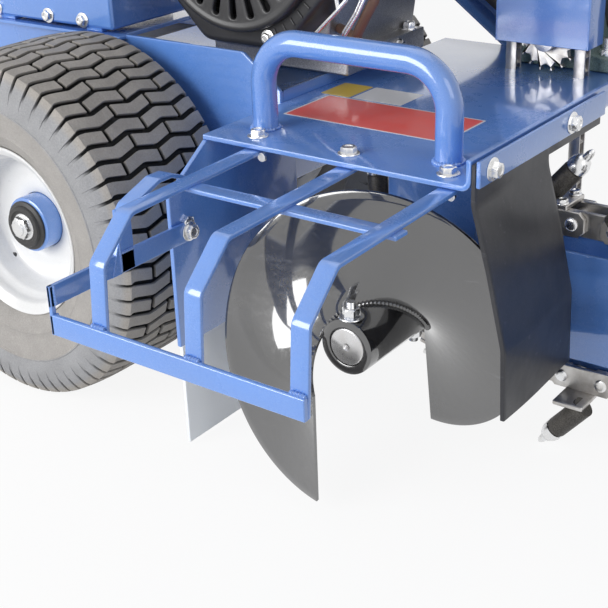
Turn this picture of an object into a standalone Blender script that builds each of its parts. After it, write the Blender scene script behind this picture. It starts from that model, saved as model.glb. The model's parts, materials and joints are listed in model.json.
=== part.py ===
"""Walk-behind trencher with digging chain, spoil auger, engine and two drive wheels.

The design frame has its origin on the top face of the digging deck, at the outer edge
of the deck and over the first guard bar. X runs forward to the boom, Y across the
machine and Z up, and sizes are in metres. The last step moves the whole machine, so
that the model's origin is the middle of the bottom of its bounding box.
"""

import math

import bmesh
import bpy
from mathutils import Matrix, Vector

# Clearances
GAP = 0.0003
FIT = 0.0005
SIDES = 16
WHEEL_SIDES = 24
PIVOT_FIT = 0.0008

# Whole machine
CENTRE_Y = 0.300
GROUND_Z = -0.389
AXES = {"X": Vector((1, 0, 0)), "Y": Vector((0, 1, 0)), "Z": Vector((0, 0, 1))}

# Digging deck
DECK_THICK = 0.006
DECK_BACK_X = -0.072
DECK_LIP_X = 0.280
DECK_LIP_TOP = 0.028
DECK_BEND = 0.014
DECK_LENGTH = 0.552
BOLT_ROW_Y = 0.027
BOLT_ROW_X = -0.012
BOLT_HEAD = 0.009
BOLT_HEIGHT = 0.007

# Guard in front of the auger
BAR_SPACING = 0.126
BAR_WIDTH = 0.021
BAR_THICK = 0.005
GUARD_PATH = [(0.030, -0.0063), (-0.205, -0.012), (-0.251, -0.055), (-0.258, -0.146)]
BOTTOM_BAR_Z = -0.146
BOTTOM_BAR_HIGH = 0.024
BOTTOM_BAR_THICK = 0.006
GUARD_LEFT_X = -0.066
GUARD_RIGHT_X = 0.2625

# Auger side plate, scraper, deck handle and flap
SIDE_PLATE_THICK = 0.006
SIDE_PLATE_DROP = 0.245
SCRAPER_THICK = 0.005
SCRAPER_TOP = -0.200
SCRAPER_BOTTOM = -0.384
HANDLE_RADIUS = 0.015
HANDLE_BEND = 0.065
HANDLE_FEET_X = (-0.023, 0.222)
HANDLE_Y = 0.057
HANDLE_TOP = 0.104
FLAP_THICK = 0.005
FLAP_WIDTH = 0.166
FLAP_STRIP = 0.300
FLAP_BOTTOM = (0.322, -0.255)
CLAMP_HIGH = 0.028
CLAMP_BOLTS_Y = (0.025, 0.209)

# Headshaft, auger and digging boom
HEAD_X = 0.146
HEAD_Z = -0.203
SHAFT_RADIUS = 0.0225
AUGER_RADIUS = 0.168
AUGER_TUBE_RADIUS = 0.0335
AUGER_PITCH = 0.229
FLIGHT_THICK = 0.005
FLIGHT_TURNS = 355.0 / 360.0
AUGER_TUBE_END = 0.134
FLIGHT_START_Y = AUGER_TUBE_END - 0.001 - AUGER_PITCH * FLIGHT_TURNS
AUGER_TUBE_START = FLIGHT_START_Y + 0.062
BOOM_Y = 0.230
CHAIN_PITCH = 0.0508
CHAIN_TEETH = 12
BOOM_PITCHES = 13
CHAIN_GAP = 0.025
CHAIN_PLATE = 0.006
PIN_RADIUS = 0.0095
TIP_RADIUS = HEAD_Z - GROUND_Z
BIT_TIP = 0.0015

# Bearings and drive
HANGER_THICK = 0.008
BEARING_FLANGE = 0.055
BEARING_BOSS = 0.029
JACK_X = HEAD_X
JACK_Z = 0.04465
JACK_RADIUS = 0.015
DRIVE_PITCH = 0.01905
DRIVE_TEETH = 16
DRIVE_STRAIGHT = 13
DRIVE_Y = DECK_LENGTH - 0.1095
PULLEY_Y = DECK_LENGTH + 0.025
WHEEL_CLEAR = 0.0005
PULLEY_WIDTH = 0.030
DRIVEN_PULLEY = 0.085
ENGINE_PULLEY = 0.045
BELT_THICK = 0.010
BELT_WIDE = 0.022

# Chassis, wheels and casters
CHASSIS_BACK_X = -0.770
CHASSIS_SIDE = 0.150
CHASSIS_THICK = 0.006
CHASSIS_TOP = 0.057
CHASSIS_LOW = -0.120
AXLE_X = -0.360
TYRE_RADIUS = 0.2286
AXLE_Z = GROUND_Z + TYRE_RADIUS
TYRE_WIDTH = 0.216
TYRE_Y = 0.024
RIM_RADIUS = 0.116
RIM_HALF = 0.089
RIM_WALL = 0.003
RIM_LIP = 0.0144
RIM_DROP = 0.0156
RIM_DISC_Y = -0.032
HUB_RADIUS = 0.0375
TREAD_WALL = 0.0255
SIDEWALL = 0.012
AXLE_RADIUS = 0.016
AXLE_TUBE = 0.026
CASTER_X = -0.720
CASTER_Y = 0.125
CASTER_RADIUS = 0.080
CASTER_WIDTH = 0.045
CASTER_TRAIL = 0.040
CASTER_BEAM_Z = -0.150
CASTER_BEAM_HIGH = 0.041

# Engine
CRANK_X = -0.149
CRANK_Z = 0.207
BED_TOP = 0.014
FAN_COVER_RADIUS = 0.129
FAN_COVER_Y = 0.158
BLOWER_Y = 0.172
BLOWER_HALF = 0.150
CASE_START_Y = 0.232
CASE_END_Y = 0.450
CYLINDER_TILT = 27.0

# Fuel cap
CAP_PLACE = (-0.054, 0.338, 0.470)
CAP_RADIUS = 0.032
CAP_HIGH = 0.020

# Oil tank
TANK_BACK_X = -0.600
TANK_FRONT_X = -0.345
TANK_NEAR_Y = 0.140
TANK_TOP = 0.230
TANK_WALL = 0.003
TANK_EDGE = 0.004
PAD_HIGH = 0.005
PAD_LONG = 0.030
FILLER_RADIUS = 0.028

# Handlebar and console
BAR_RADIUS = 0.016
BAR_FOOT = (-0.7465, 0.000)
BAR_KNEE = (-1.060, 0.560)
BAR_END_X = -1.150
BAR_END_Z = 0.592
BAR_BEND = 0.080


def clear_scene():
    """Take every object of an earlier run out of the file."""
    for old in list(bpy.data.objects):
        bpy.data.objects.remove(old, do_unlink=True)
    for group in list(bpy.data.collections):
        bpy.data.collections.remove(group)


def collection(name):
    """A new collection under the scene."""
    group = bpy.data.collections.new(name)
    bpy.context.scene.collection.children.link(group)
    return group


clear_scene()
TRENCHER = collection("walk_behind_trencher")
CUTTERS = collection("cutters")
ROOT = bpy.data.objects.new("machine_origin", None)
TRENCHER.objects.link(ROOT)


def material(name, colour, roughness, metallic=0.0):
    """A Principled material with one colour."""
    found = bpy.data.materials.get(name)
    if found:
        return found
    made = bpy.data.materials.new(name)
    made.use_nodes = True
    made.diffuse_color = (*colour, 1.0)
    shader = made.node_tree.nodes["Principled BSDF"]
    shader.inputs["Base Color"].default_value = (*colour, 1.0)
    shader.inputs["Roughness"].default_value = roughness
    shader.inputs["Metallic"].default_value = metallic
    return made


def blue_paint():
    return material("blue_powder_coat", (0.012, 0.085, 0.47), 0.33)


def black_paint():
    return material("black_gloss_paint", (0.012, 0.012, 0.014), 0.22)


def pale_paint():
    return material("pale_grey_paint", (0.72, 0.76, 0.80), 0.35)


def rim_paint():
    return material("white_rim_paint", (0.80, 0.80, 0.79), 0.35)


def green_paint():
    return material("bearing_green_paint", (0.16, 0.24, 0.22), 0.45)


def steel():
    return material("bright_steel", (0.56, 0.57, 0.58), 0.30, 1.0)


def chain_steel():
    return material("chain_steel", (0.44, 0.43, 0.42), 0.38, 1.0)


def cast_grey():
    return material("grey_cast_iron", (0.17, 0.17, 0.17), 0.55, 0.8)


def cast_aluminium():
    return material("cast_aluminium", (0.50, 0.51, 0.52), 0.42, 1.0)


def tyre_rubber():
    return material("tyre_rubber", (0.045, 0.043, 0.040), 0.80)


def flap_rubber():
    return material("flap_rubber", (0.015, 0.016, 0.022), 0.45)


def grip_rubber():
    return material("grip_rubber", (0.014, 0.014, 0.014), 0.75)


def black_plastic():
    return material("black_plastic", (0.020, 0.020, 0.022), 0.50)


def belt_rubber():
    return material("belt_rubber", (0.020, 0.020, 0.020), 0.70)


def tidy_mesh(mesh):
    """Weld loose caps, drop slivers, turn faces outwards and keep hard edges sharp."""
    work = bmesh.new()
    work.from_mesh(mesh)
    bmesh.ops.remove_doubles(work, verts=work.verts, dist=2e-6)
    bmesh.ops.dissolve_degenerate(work, edges=work.edges, dist=1e-6)
    bmesh.ops.recalc_face_normals(work, faces=work.faces)
    work.to_mesh(mesh)
    work.free()
    mesh.shade_smooth()
    mesh.set_sharp_from_angle(angle=math.radians(32))
    return mesh


def baked(obj):
    """Replace an object by the plain mesh that its modifiers or its curve give."""
    bpy.context.view_layer.update()
    seen = obj.evaluated_get(bpy.context.evaluated_depsgraph_get())
    mesh = bpy.data.meshes.new_from_object(seen)
    mesh.transform(obj.matrix_world)
    title = obj.name
    bpy.data.objects.remove(obj, do_unlink=True)
    made = bpy.data.objects.new(title, tidy_mesh(mesh))
    TRENCHER.objects.link(made)
    return made


def from_bmesh(work, matrix=None):
    """An object in the trencher's collection, from a finished bmesh."""
    mesh = bpy.data.meshes.new("shape")
    work.to_mesh(mesh)
    work.free()
    if matrix:
        mesh.transform(matrix)
    made = bpy.data.objects.new("shape", tidy_mesh(mesh))
    TRENCHER.objects.link(made)
    return made


def along(axis):
    """Turn a shape built round local Z so that it lies round a world axis."""
    if axis == "X":
        return Matrix(((0, 0, 1), (1, 0, 0), (0, 1, 0))).to_4x4()
    if axis == "Y":
        return Matrix(((1, 0, 0), (0, 0, 1), (0, -1, 0))).to_4x4()
    return Matrix.Identity(4)


def block(low, high):
    """A box between two corners."""
    work = bmesh.new()
    bmesh.ops.create_cube(work, size=1.0)
    size = Vector(high) - Vector(low)
    middle = (Vector(high) + Vector(low)) / 2
    return from_bmesh(work, Matrix.Translation(middle) @ Matrix.Diagonal((*size, 1.0)))


def rounded_block(low, high, edge, segments=1):
    """A box with all its edges bevelled."""
    made = block(low, high)
    bevel = made.modifiers.new("edges", "BEVEL")
    bevel.width = edge
    bevel.segments = segments
    return baked(made)


def rod(start, end, radius, sides=SIDES, end_radius=None):
    """A cylinder or cone between two points."""
    start = Vector(start)
    end = Vector(end)
    work = bmesh.new()
    tip = radius if end_radius is None else end_radius
    length = (end - start).length
    bmesh.ops.create_cone(work, cap_ends=True, segments=sides, radius1=radius,
                          radius2=tip, depth=length)
    turn = (end - start).to_track_quat("Z", "Y").to_matrix().to_4x4()
    return from_bmesh(work, Matrix.Translation((start + end) / 2) @ turn)


def hexagon(centre, axis, radius, height):
    """A bolt head or nut standing on a face, along an axis name or a signed vector."""
    way = AXES[axis] if isinstance(axis, str) else Vector(axis)
    start = Vector(centre)
    return rod(start, start + way.normalized() * height, radius, sides=6)


def filleted(points, radius, closed=False, segments=4):
    """Points of a path with its inner corners, or all of them, turned into arcs."""
    points = [Vector(p) for p in points]
    count = len(points)
    radii = radius if isinstance(radius, (list, tuple)) else [radius] * count
    out = []
    for i, point in enumerate(points):
        if (not closed and i in (0, count - 1)) or radii[i] <= 0:
            out.append(point)
            continue
        back = points[i - 1] - point
        ahead = points[(i + 1) % count] - point
        half = back.angle(ahead) / 2
        reach = radii[i] / math.tan(half)
        reach = min(reach, 0.49 * back.length, 0.49 * ahead.length)
        bend = reach * math.tan(half)
        middle = (back.normalized() + ahead.normalized()).normalized()
        centre = point + middle * (bend / math.sin(half))
        first = point + back.normalized() * reach - centre
        last = point + ahead.normalized() * reach - centre
        share = first.angle(last)
        for k in range(segments + 1):
            before = math.sin((1 - k / segments) * share) / math.sin(share)
            after = math.sin(k / segments * share) / math.sin(share)
            out.append(centre + first * before + last * after)
    return out


def circle(centre, radius, sides=SIDES, turn=0.0):
    """Points of a round hole or disc in a flat outline."""
    steps = [turn + 2 * math.pi * k / sides for k in range(sides)]
    return [(centre[0] + radius * math.cos(a), centre[1] + radius * math.sin(a)) for a in steps]


def plate(outline, low, high, axis, holes=()):
    """A flat outline given thickness from low to high along an axis.

    Outline points are (Y, Z) for axis X, (X, Z) for axis Y and (X, Y) for axis Z.
    """
    curve = bpy.data.curves.new("outline", "CURVE")
    curve.dimensions = "2D"
    curve.fill_mode = "BOTH"
    curve.extrude = (high - low) / 2
    for ring in [outline, *holes]:
        spline = curve.splines.new("POLY")
        spline.points.add(len(ring) - 1)
        for spot, point in zip(spline.points, ring):
            spot.co = (point[0], point[1], 0, 1)
        spline.use_cyclic_u = True
    made = bpy.data.objects.new("outline", curve)
    TRENCHER.objects.link(made)
    middle = (low + high) / 2
    frames = {
        "X": Matrix(((0, 0, 1, middle), (1, 0, 0, 0), (0, 1, 0, 0), (0, 0, 0, 1))),
        "Y": Matrix(((1, 0, 0, 0), (0, 0, -1, middle), (0, 1, 0, 0), (0, 0, 0, 1))),
        "Z": Matrix.Translation((0, 0, middle)),
    }
    made.matrix_world = frames[axis]
    return baked(made)


def strip(path, thick, bend, segments=3):
    """Outline of a flat bar of even thickness, which lies on the left of its path."""
    path = [Vector(p) for p in path]
    offset = []
    for i, point in enumerate(path):
        ways = []
        if i > 0:
            ways.append((point - path[i - 1]).normalized())
        if i < len(path) - 1:
            ways.append((path[i + 1] - point).normalized())
        normals = [Vector((-w.y, w.x)) for w in ways]
        middle = sum(normals, Vector((0, 0))).normalized()
        offset.append(point + middle * (thick / middle.dot(normals[0])))
    turns = [0.0] * len(path)
    inner = [0.0] * len(path)
    for i in range(1, len(path) - 1):
        before = path[i] - path[i - 1]
        after = path[i + 1] - path[i]
        to_left = before.x * after.y - before.y * after.x > 0
        turns[i] = bend + thick if to_left else bend
        inner[i] = bend if to_left else bend + thick
    front = filleted(path, turns, segments=segments)
    rear = filleted(offset, inner, segments=segments)
    return front + rear[::-1]


def turned(profile, axis, centre, sides=SIDES, half_step=False):
    """A profile of (radius, place) points carried round an axis by a Screw modifier.

    The profile is a closed ring, or starts and ends on the axis. Places run along the
    axis from the centre.
    """
    mesh = bpy.data.meshes.new("profile")
    points = [(radius, 0.0, place) for radius, place in profile]
    open_ends = profile[0][0] == 0 and profile[-1][0] == 0
    count = len(points)
    edges = [(i, (i + 1) % count) for i in range(count - 1 if open_ends else count)]
    mesh.from_pydata(points, edges, [])
    made = bpy.data.objects.new("profile", mesh)
    TRENCHER.objects.link(made)
    screw = made.modifiers.new("turn", "SCREW")
    screw.axis = "Z"
    screw.angle = 2 * math.pi
    screw.steps = sides
    screw.render_steps = sides
    screw.use_merge_vertices = True
    screw.merge_threshold = 0.00001
    spin = Matrix.Rotation(math.pi / sides if half_step else 0.0, 4, "Z")
    made.matrix_world = Matrix.Translation(centre) @ along(axis) @ spin
    return baked(made)


def inset(outline, wall):
    """A convex outline moved inwards by the thickness of a wall."""
    points = [Vector(p) for p in outline]
    count = len(points)
    middle = sum(points, Vector((0, 0))) / count
    out = []
    for i, point in enumerate(points):
        before = (point - points[i - 1]).normalized()
        after = (points[(i + 1) % count] - point).normalized()
        normals = []
        for way in (before, after):
            normal = Vector((-way.y, way.x))
            if normal.dot(middle - point) < 0:
                normal = -normal
            normals.append(normal)
        bisector = (normals[0] + normals[1]).normalized()
        out.append(point + bisector * (wall / bisector.dot(normals[0])))
    return out


def washer(centre, axis, outer, inner, thick, sides=SIDES, half_step=False):
    """A flat ring, centred on its thickness."""
    half = thick / 2
    ring = [(outer, half), (outer, -half), (inner, -half), (inner, half)]
    return turned(ring, axis, centre, sides, half_step)


def tube(points, radius, bend=0.0, resolution=3, segments=4):
    """A round bar along a path with bent corners."""
    route = filleted(points, bend, segments=segments) if bend else [Vector(p) for p in points]
    curve = bpy.data.curves.new("bar", "CURVE")
    curve.dimensions = "3D"
    curve.bevel_depth = radius
    curve.bevel_resolution = resolution
    curve.use_fill_caps = True
    spline = curve.splines.new("POLY")
    spline.points.add(len(route) - 1)
    for spot, point in zip(spline.points, route):
        spot.co = (*point, 1)
    made = bpy.data.objects.new("bar", curve)
    TRENCHER.objects.link(made)
    return baked(made)


def boolean(base, others, operation):
    """One exact Boolean of the base with a group of other objects."""
    group = bpy.data.collections.new("operands")
    CUTTERS.children.link(group)
    for other in others:
        group.objects.link(other)
        TRENCHER.objects.unlink(other)
        other.hide_render = True
        other.display_type = "WIRE"
    change = base.modifiers.new(operation.lower(), "BOOLEAN")
    change.operation = operation
    change.operand_type = "COLLECTION"
    change.collection = group
    change.solver = "EXACT"
    made = baked(base)
    work = bmesh.new()
    work.from_mesh(made.data)
    bmesh.ops.dissolve_limit(work, angle_limit=math.radians(0.2), verts=work.verts, edges=work.edges)
    work.to_mesh(made.data)
    work.free()
    for other in others:
        bpy.data.objects.remove(other, do_unlink=True)
    bpy.data.collections.remove(group)
    return made


def fuse(pieces):
    """Join overlapping shapes into one solid."""
    return boolean(pieces[0], pieces[1:], "UNION")


def cut(base, cutters):
    """Take cutters out of a solid."""
    return boolean(base, cutters, "DIFFERENCE")


def copy_of(obj):
    """A second object with its own mesh."""
    made = obj.copy()
    made.data = obj.data.copy()
    TRENCHER.objects.link(made)
    return made


def mirrored(obj, name):
    """The piece of the other side of the machine, mirrored about its centre plane."""
    made = copy_of(obj)
    flip = Matrix.Diagonal((1, -1, 1, 1))
    flip.translation = Vector((0, 2 * CENTRE_Y, 0))
    made.data.transform(flip)
    made.data.flip_normals()
    made.name = name
    return made


JOINTS = {}


def joint(name, point, parent=None):
    """An empty on a joint's axis, under the empty of the body that carries it."""
    empty = bpy.data.objects.new(name, None)
    TRENCHER.objects.link(empty)
    empty.parent = JOINTS[parent] if parent else ROOT
    carried = JOINTS[parent]["point"] if parent else (0, 0, 0)
    empty.location = Vector(point) - Vector(carried)
    empty["point"] = tuple(point)
    JOINTS[name] = empty
    return empty


def part(name, shape, finish, body=None):
    """Name a finished solid, paint it and hang it on its body."""
    shape.name = name
    shape.data.name = name
    shape.data.materials.clear()
    shape.data.materials.append(finish)
    if body:
        shape.data.transform(Matrix.Translation(-Vector(JOINTS[body]["point"])))
        shape.parent = JOINTS[body]
    else:
        shape.parent = ROOT
    return shape


def build_deck():
    """Folded deck plate with its roller chain slot and its row of bolts."""
    edge_x = DECK_LIP_X - DECK_THICK
    path = [(DECK_BACK_X, 0.0), (edge_x, 0.0), (edge_x, DECK_LIP_TOP)]
    outline = strip([(x, z) for x, z in path][::-1], DECK_THICK, DECK_BEND - DECK_THICK, 4)
    deck = plate(outline, 0.0, DECK_LENGTH, "Y")
    slot_half = DRIVE_PITCH / (2 * math.sin(math.pi / DRIVE_TEETH)) + 0.0115
    slot = block((HEAD_X - slot_half, DRIVE_Y - 0.014, -0.020),
                 (HEAD_X + slot_half, DRIVE_Y + 0.014, 0.010))
    deck = cut(deck, [slot])
    bolts = []
    for i in range(3):
        spot = (BOLT_ROW_X + i * BAR_SPACING, BOLT_ROW_Y, -0.001)
        bolts.append(hexagon(spot, "Z", BOLT_HEAD, BOLT_HEIGHT + 0.001))
    part("digging_deck", fuse([deck, *bolts]), blue_paint())


def build_guard():
    """Three bent bars, their cross bar and bottom bar, and the framed left end."""
    outline = strip(GUARD_PATH, BAR_THICK, 0.010)
    pieces = []
    for i in range(3):
        middle = i * BAR_SPACING
        pieces.append(plate(outline, middle - BAR_WIDTH / 2, middle + BAR_WIDTH / 2, "X"))
    weld = 0.001
    cross_z = -0.014
    pieces.append(block((-BAR_WIDTH / 2, -0.119, cross_z - BAR_THICK),
                        (2 * BAR_SPACING + 0.016, -0.119 + BAR_WIDTH, cross_z)))
    foot_y = GUARD_PATH[-1][0] + weld
    front_y = foot_y - BOTTOM_BAR_THICK
    pieces.append(block((GUARD_LEFT_X, front_y, BOTTOM_BAR_Z),
                        (GUARD_RIGHT_X, foot_y, BOTTOM_BAR_Z + BOTTOM_BAR_HIGH)))
    edge_x = GUARD_LEFT_X + BAR_THICK
    brace_low = -0.114
    brace_top = -0.090
    pieces.append(block((GUARD_LEFT_X, front_y, BOTTOM_BAR_Z), (edge_x, foot_y, brace_top)))
    pieces.append(block((GUARD_LEFT_X, front_y, brace_low), (edge_x, -0.038, brace_top)))
    pieces.append(block((GUARD_LEFT_X, -0.160, brace_low), (edge_x, -0.137, -0.036)))
    arch = strip([(-0.160, -0.045), (-0.150, -0.034), (-0.104, -0.018), (-0.083, -0.018),
                  (-0.055, -0.030), (-0.045, -0.045)][::-1], BAR_THICK, 0.006, 2)
    pieces.append(plate(arch, GUARD_LEFT_X, GUARD_LEFT_X + BAR_WIDTH, "X"))
    gusset = [(-0.159, -0.072), (-0.159, brace_low), (-0.174, brace_low)]
    pieces.append(plate(gusset, GUARD_LEFT_X + 0.0005, edge_x + 0.001, "X"))
    pieces.append(hexagon((edge_x - weld, -0.046, -0.102), "X", BOLT_HEAD, BOLT_HEIGHT + weld))
    part("auger_guard", fuse(pieces), blue_paint())


def build_side_plate():
    """Plate beside the auger, with the scraper bolted behind it."""
    outer_x = GUARD_LEFT_X - GAP
    inner_x = outer_x - SIDE_PLATE_THICK
    top = -DECK_THICK - GAP
    rear = CHASSIS_SIDE + 0.020
    outline = [(0.0, top), (-0.070, -0.054), (-0.071, -SIDE_PLATE_DROP),
               (rear, -SIDE_PLATE_DROP), (rear, top)]
    shape = plate(outline, inner_x, outer_x, "X")
    part("auger_side_plate", shape, blue_paint())
    face = inner_x - GAP
    corners = [(-0.062, SCRAPER_TOP), (-0.062, SCRAPER_BOTTOM), (0.070, SCRAPER_BOTTOM),
               (0.070, SCRAPER_TOP)]
    blade = plate(filleted(corners, [0.012, 0.0, 0.006, 0.012], True, 3),
                  face - SCRAPER_THICK, face, "X")
    nuts = [hexagon((face - SCRAPER_THICK + 0.001, y, SCRAPER_TOP - 0.022), (-1, 0, 0),
                    BOLT_HEAD, BOLT_HEIGHT) for y in (-0.035, 0.043)]
    part("auger_scraper", fuse([blade, *nuts]), pale_paint())


def build_deck_handle():
    """Bent lifting tube welded to the top of the deck."""
    left, right = HANDLE_FEET_X
    route = [(left, HANDLE_Y, GAP), (left, HANDLE_Y, HANDLE_TOP),
             (right, HANDLE_Y, HANDLE_TOP), (right, HANDLE_Y, GAP)]
    shape = tube(route, HANDLE_RADIUS, HANDLE_BEND, 3, 6)
    part("deck_handle", shape, blue_paint())


def build_flap():
    """Rubber spoil flap, held against the deck's lip by a bolted clamp bar."""
    back = DECK_LIP_X + GAP
    path = [(back, DECK_LIP_TOP - 0.004), (back, -0.020), (0.300, -0.090), (0.319, -0.170),
            FLAP_BOTTOM]
    sheet = plate(strip(path, FLAP_THICK, 0.050, 2), 0.0, FLAP_WIDTH, "Y")
    ledge = block((back, FLAP_WIDTH - 0.006, -0.012),
                  (back + FLAP_THICK, FLAP_STRIP, DECK_LIP_TOP - 0.004))
    part("spoil_flap", fuse([sheet, ledge]), flap_rubber())
    face = back + FLAP_THICK + GAP
    bar = block((face, 0.0, DECK_LIP_TOP - CLAMP_HIGH), (face + BAR_THICK, FLAP_STRIP, DECK_LIP_TOP))
    bolts = []
    for y in CLAMP_BOLTS_Y:
        spot = Vector((face + BAR_THICK - 0.0005, y, DECK_LIP_TOP - CLAMP_HIGH / 2))
        bolts.append(rod(spot, spot + Vector((0.0025, 0, 0)), 0.0115, 12))
        bolts.append(hexagon(spot + Vector((0.001, 0, 0)), "X", BOLT_HEAD, BOLT_HEIGHT))
    part("flap_clamp", fuse([bar, *bolts]), blue_paint())


def sprocket(teeth, pitch, roller, thick, bore, centre):
    """A chain wheel about Y: round seats, tapered teeth and a bore.

    The teeth end just inside the chain's pins, because the chain is one solid that
    stands still while its wheels turn.
    """
    addendum = 0.42 * roller
    tip = pitch / (2 * math.sin(math.pi / teeth)) - roller - WHEEL_CLEAR
    seat_circle = tip - addendum
    spread = 65
    seat = (roller + 0.0004) / math.cos(math.radians(spread / 2))
    outline = []
    for k in range(teeth):
        angle = 2 * math.pi * k / teeth
        out = Vector((math.cos(angle), math.sin(angle)))
        side = Vector((-out.y, out.x))
        middle = out * seat_circle
        for turn in (-spread, 0, spread):
            reach = math.radians(turn)
            outline.append(middle - out * seat * math.cos(reach) + side * seat * math.sin(reach))
        half = math.pi / teeth
        for edge in (-0.22, 0.22):
            lean = angle + half + edge * half
            outline.append(Vector((math.cos(lean), math.sin(lean))) * tip)
    ring = [(centre[0] + p.x, centre[2] + p.y) for p in outline]
    hole = circle((centre[0], centre[2]), bore, SIDES)
    return plate(ring, centre[1] - thick / 2, centre[1] + thick / 2, "Y", [hole])


def build_headshaft():
    """Headshaft with the auger on its near end and its two chain wheels."""
    joint("headshaft_spin", (HEAD_X, 0, HEAD_Z))
    end_y = DRIVE_Y + 0.0145
    shaft = turned([(0, end_y), (SHAFT_RADIUS, end_y), (SHAFT_RADIUS, AUGER_TUBE_START + 0.001),
                    (0.006, AUGER_TUBE_START + 0.001), (0.004, AUGER_TUBE_START + 0.009),
                    (0, AUGER_TUBE_START + 0.009)], "Y", (HEAD_X, 0, HEAD_Z))
    part("headshaft", shaft, steel(), "headshaft_spin")

    inner = AUGER_TUBE_RADIUS - 0.001
    half = FLIGHT_THICK / 2
    mesh = bpy.data.meshes.new("flight")
    corners = [(inner, half), (AUGER_RADIUS, half), (AUGER_RADIUS, -half), (inner, -half)]
    mesh.from_pydata([(r, 0.0, z) for r, z in corners], [(0, 1), (1, 2), (2, 3), (3, 0)], [])
    flight = bpy.data.objects.new("flight", mesh)
    TRENCHER.objects.link(flight)
    screw = flight.modifiers.new("helix", "SCREW")
    screw.axis = "Z"
    screw.angle = 2 * math.pi * FLIGHT_TURNS
    screw.screw_offset = AUGER_PITCH * FLIGHT_TURNS
    screw.steps = 32
    screw.render_steps = 32
    flight.matrix_world = (Matrix.Translation((HEAD_X, FLIGHT_START_Y, HEAD_Z)) @ along("Y")
                           @ Matrix.Rotation(math.pi / 2, 4, "Z"))
    flight = baked(flight)
    work = bmesh.new()
    work.from_mesh(flight.data)
    rims = [e for e in work.edges if e.is_boundary]
    bmesh.ops.holes_fill(work, edges=rims, sides=4)
    work.to_mesh(flight.data)
    work.free()
    tidy_mesh(flight.data)
    bore = SHAFT_RADIUS + FIT
    middle = (AUGER_TUBE_START + AUGER_TUBE_END) / 2
    sleeve = washer((HEAD_X, middle, HEAD_Z), "Y", AUGER_TUBE_RADIUS, bore,
                    AUGER_TUBE_END - AUGER_TUBE_START)
    pin_y = AUGER_TUBE_START + 0.012
    bolts = []
    for y, side in ((pin_y, 1), (AUGER_TUBE_END - 0.022, -1)):
        root = Vector((HEAD_X, y, HEAD_Z + side * (AUGER_TUBE_RADIUS - 0.0015)))
        up = Vector((0, 0, side))
        bolts.append(rod(root, root + up * 0.019, 0.006, 8))
        bolts.append(hexagon(root, tuple(up), 0.0105, 0.012))
    auger = fuse([sleeve, flight, *bolts])
    part("auger", auger, black_paint(), "headshaft_spin")

    roller = PIN_RADIUS
    drive = sprocket(CHAIN_TEETH, CHAIN_PITCH, roller, 0.018, bore, (HEAD_X, BOOM_Y, HEAD_Z))
    part("drive_sprocket", drive, cast_grey(), "headshaft_spin")
    driven = sprocket(DRIVE_TEETH, DRIVE_PITCH, 0.006, 0.009, bore, (HEAD_X, DRIVE_Y, HEAD_Z))
    part("driven_sprocket", driven, steel(), "headshaft_spin")


def link_frames(pitch, teeth, straight, centre, radius):
    """Pin places of a closed chain about two equal wheels: point, forward and outward."""
    frames = []
    reach = straight * pitch
    for k in range(straight):
        frames.append(((k * pitch, radius), (1, 0), (0, 1)))
    wrap = teeth // 2
    for k in range(wrap):
        a = math.pi / 2 - math.pi * k / wrap
        b = math.pi / 2 - math.pi * (k + 1) / wrap
        start = Vector((reach + radius * math.cos(a), radius * math.sin(a)))
        end = Vector((reach + radius * math.cos(b), radius * math.sin(b)))
        way = (end - start).normalized()
        frames.append((tuple(start), tuple(way), (-way.y, way.x)))
    for k in range(straight):
        frames.append(((reach - k * pitch, -radius), (-1, 0), (0, -1)))
    for k in range(wrap):
        a = -math.pi / 2 - math.pi * k / wrap
        b = -math.pi / 2 - math.pi * (k + 1) / wrap
        start = Vector((radius * math.cos(a), radius * math.sin(a)))
        end = Vector((radius * math.cos(b), radius * math.sin(b)))
        way = (end - start).normalized()
        frames.append((tuple(start), tuple(way), (-way.y, way.x)))
    out = []
    for point, way, away in frames:
        place = Vector((centre[0] + point[0], centre[1], centre[2] + point[1]))
        out.append((place, Vector((way[0], 0, way[1])), Vector((away[0], 0, away[1]))))
    return out


def oval(start, way, away, pitch, half, ends=3):
    """Outline of a link plate: two round ends joined by straight sides."""
    points = []
    for base, turn in ((0.0, math.pi / 2), (pitch, -math.pi / 2)):
        for k in range(ends + 1):
            angle = turn + math.pi * k / ends
            spot = start + way * (base + half * math.cos(angle)) + away * half * math.sin(angle)
            points.append((spot.x, spot.z))
    return points


def link_matrix(place, way, away):
    """From a link's own forward, sideways and outward axes to the machine's."""
    side = Vector((0, 1, 0))
    turn = Matrix((way, side, away)).transposed().to_4x4()
    return Matrix.Translation(place) @ turn


def build_tooth(frame, offset):
    """One digging tooth on its saddle: holder, bright collar and conical bit."""
    place, way, away = frame
    low = min(-0.0245, offset - 0.013)
    high = max(0.0245, offset + 0.013)
    middle = CHAIN_PITCH / 2
    saddle = block((middle - 0.019, low, 0.0150), (middle + 0.019, high, 0.0225))
    base = Vector((middle - 0.016, offset, 0.020))
    lean = Vector((0.64, 0, 0.768))
    pitch_radius = CHAIN_PITCH / (2 * math.sin(math.pi / CHAIN_TEETH))
    tip = TIP_RADIUS - pitch_radius - BIT_TIP
    reach = (tip - base.z) / lean.z
    holder = rod(base, base + lean * 0.056, 0.0130, 6)
    bit = rod(base + lean * 0.055, base + lean * reach, 0.0100, 6, BIT_TIP)
    shapes = [saddle, holder, bit]
    for shape in shapes:
        shape.data.transform(link_matrix(place, way, away))
    return shapes


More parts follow.
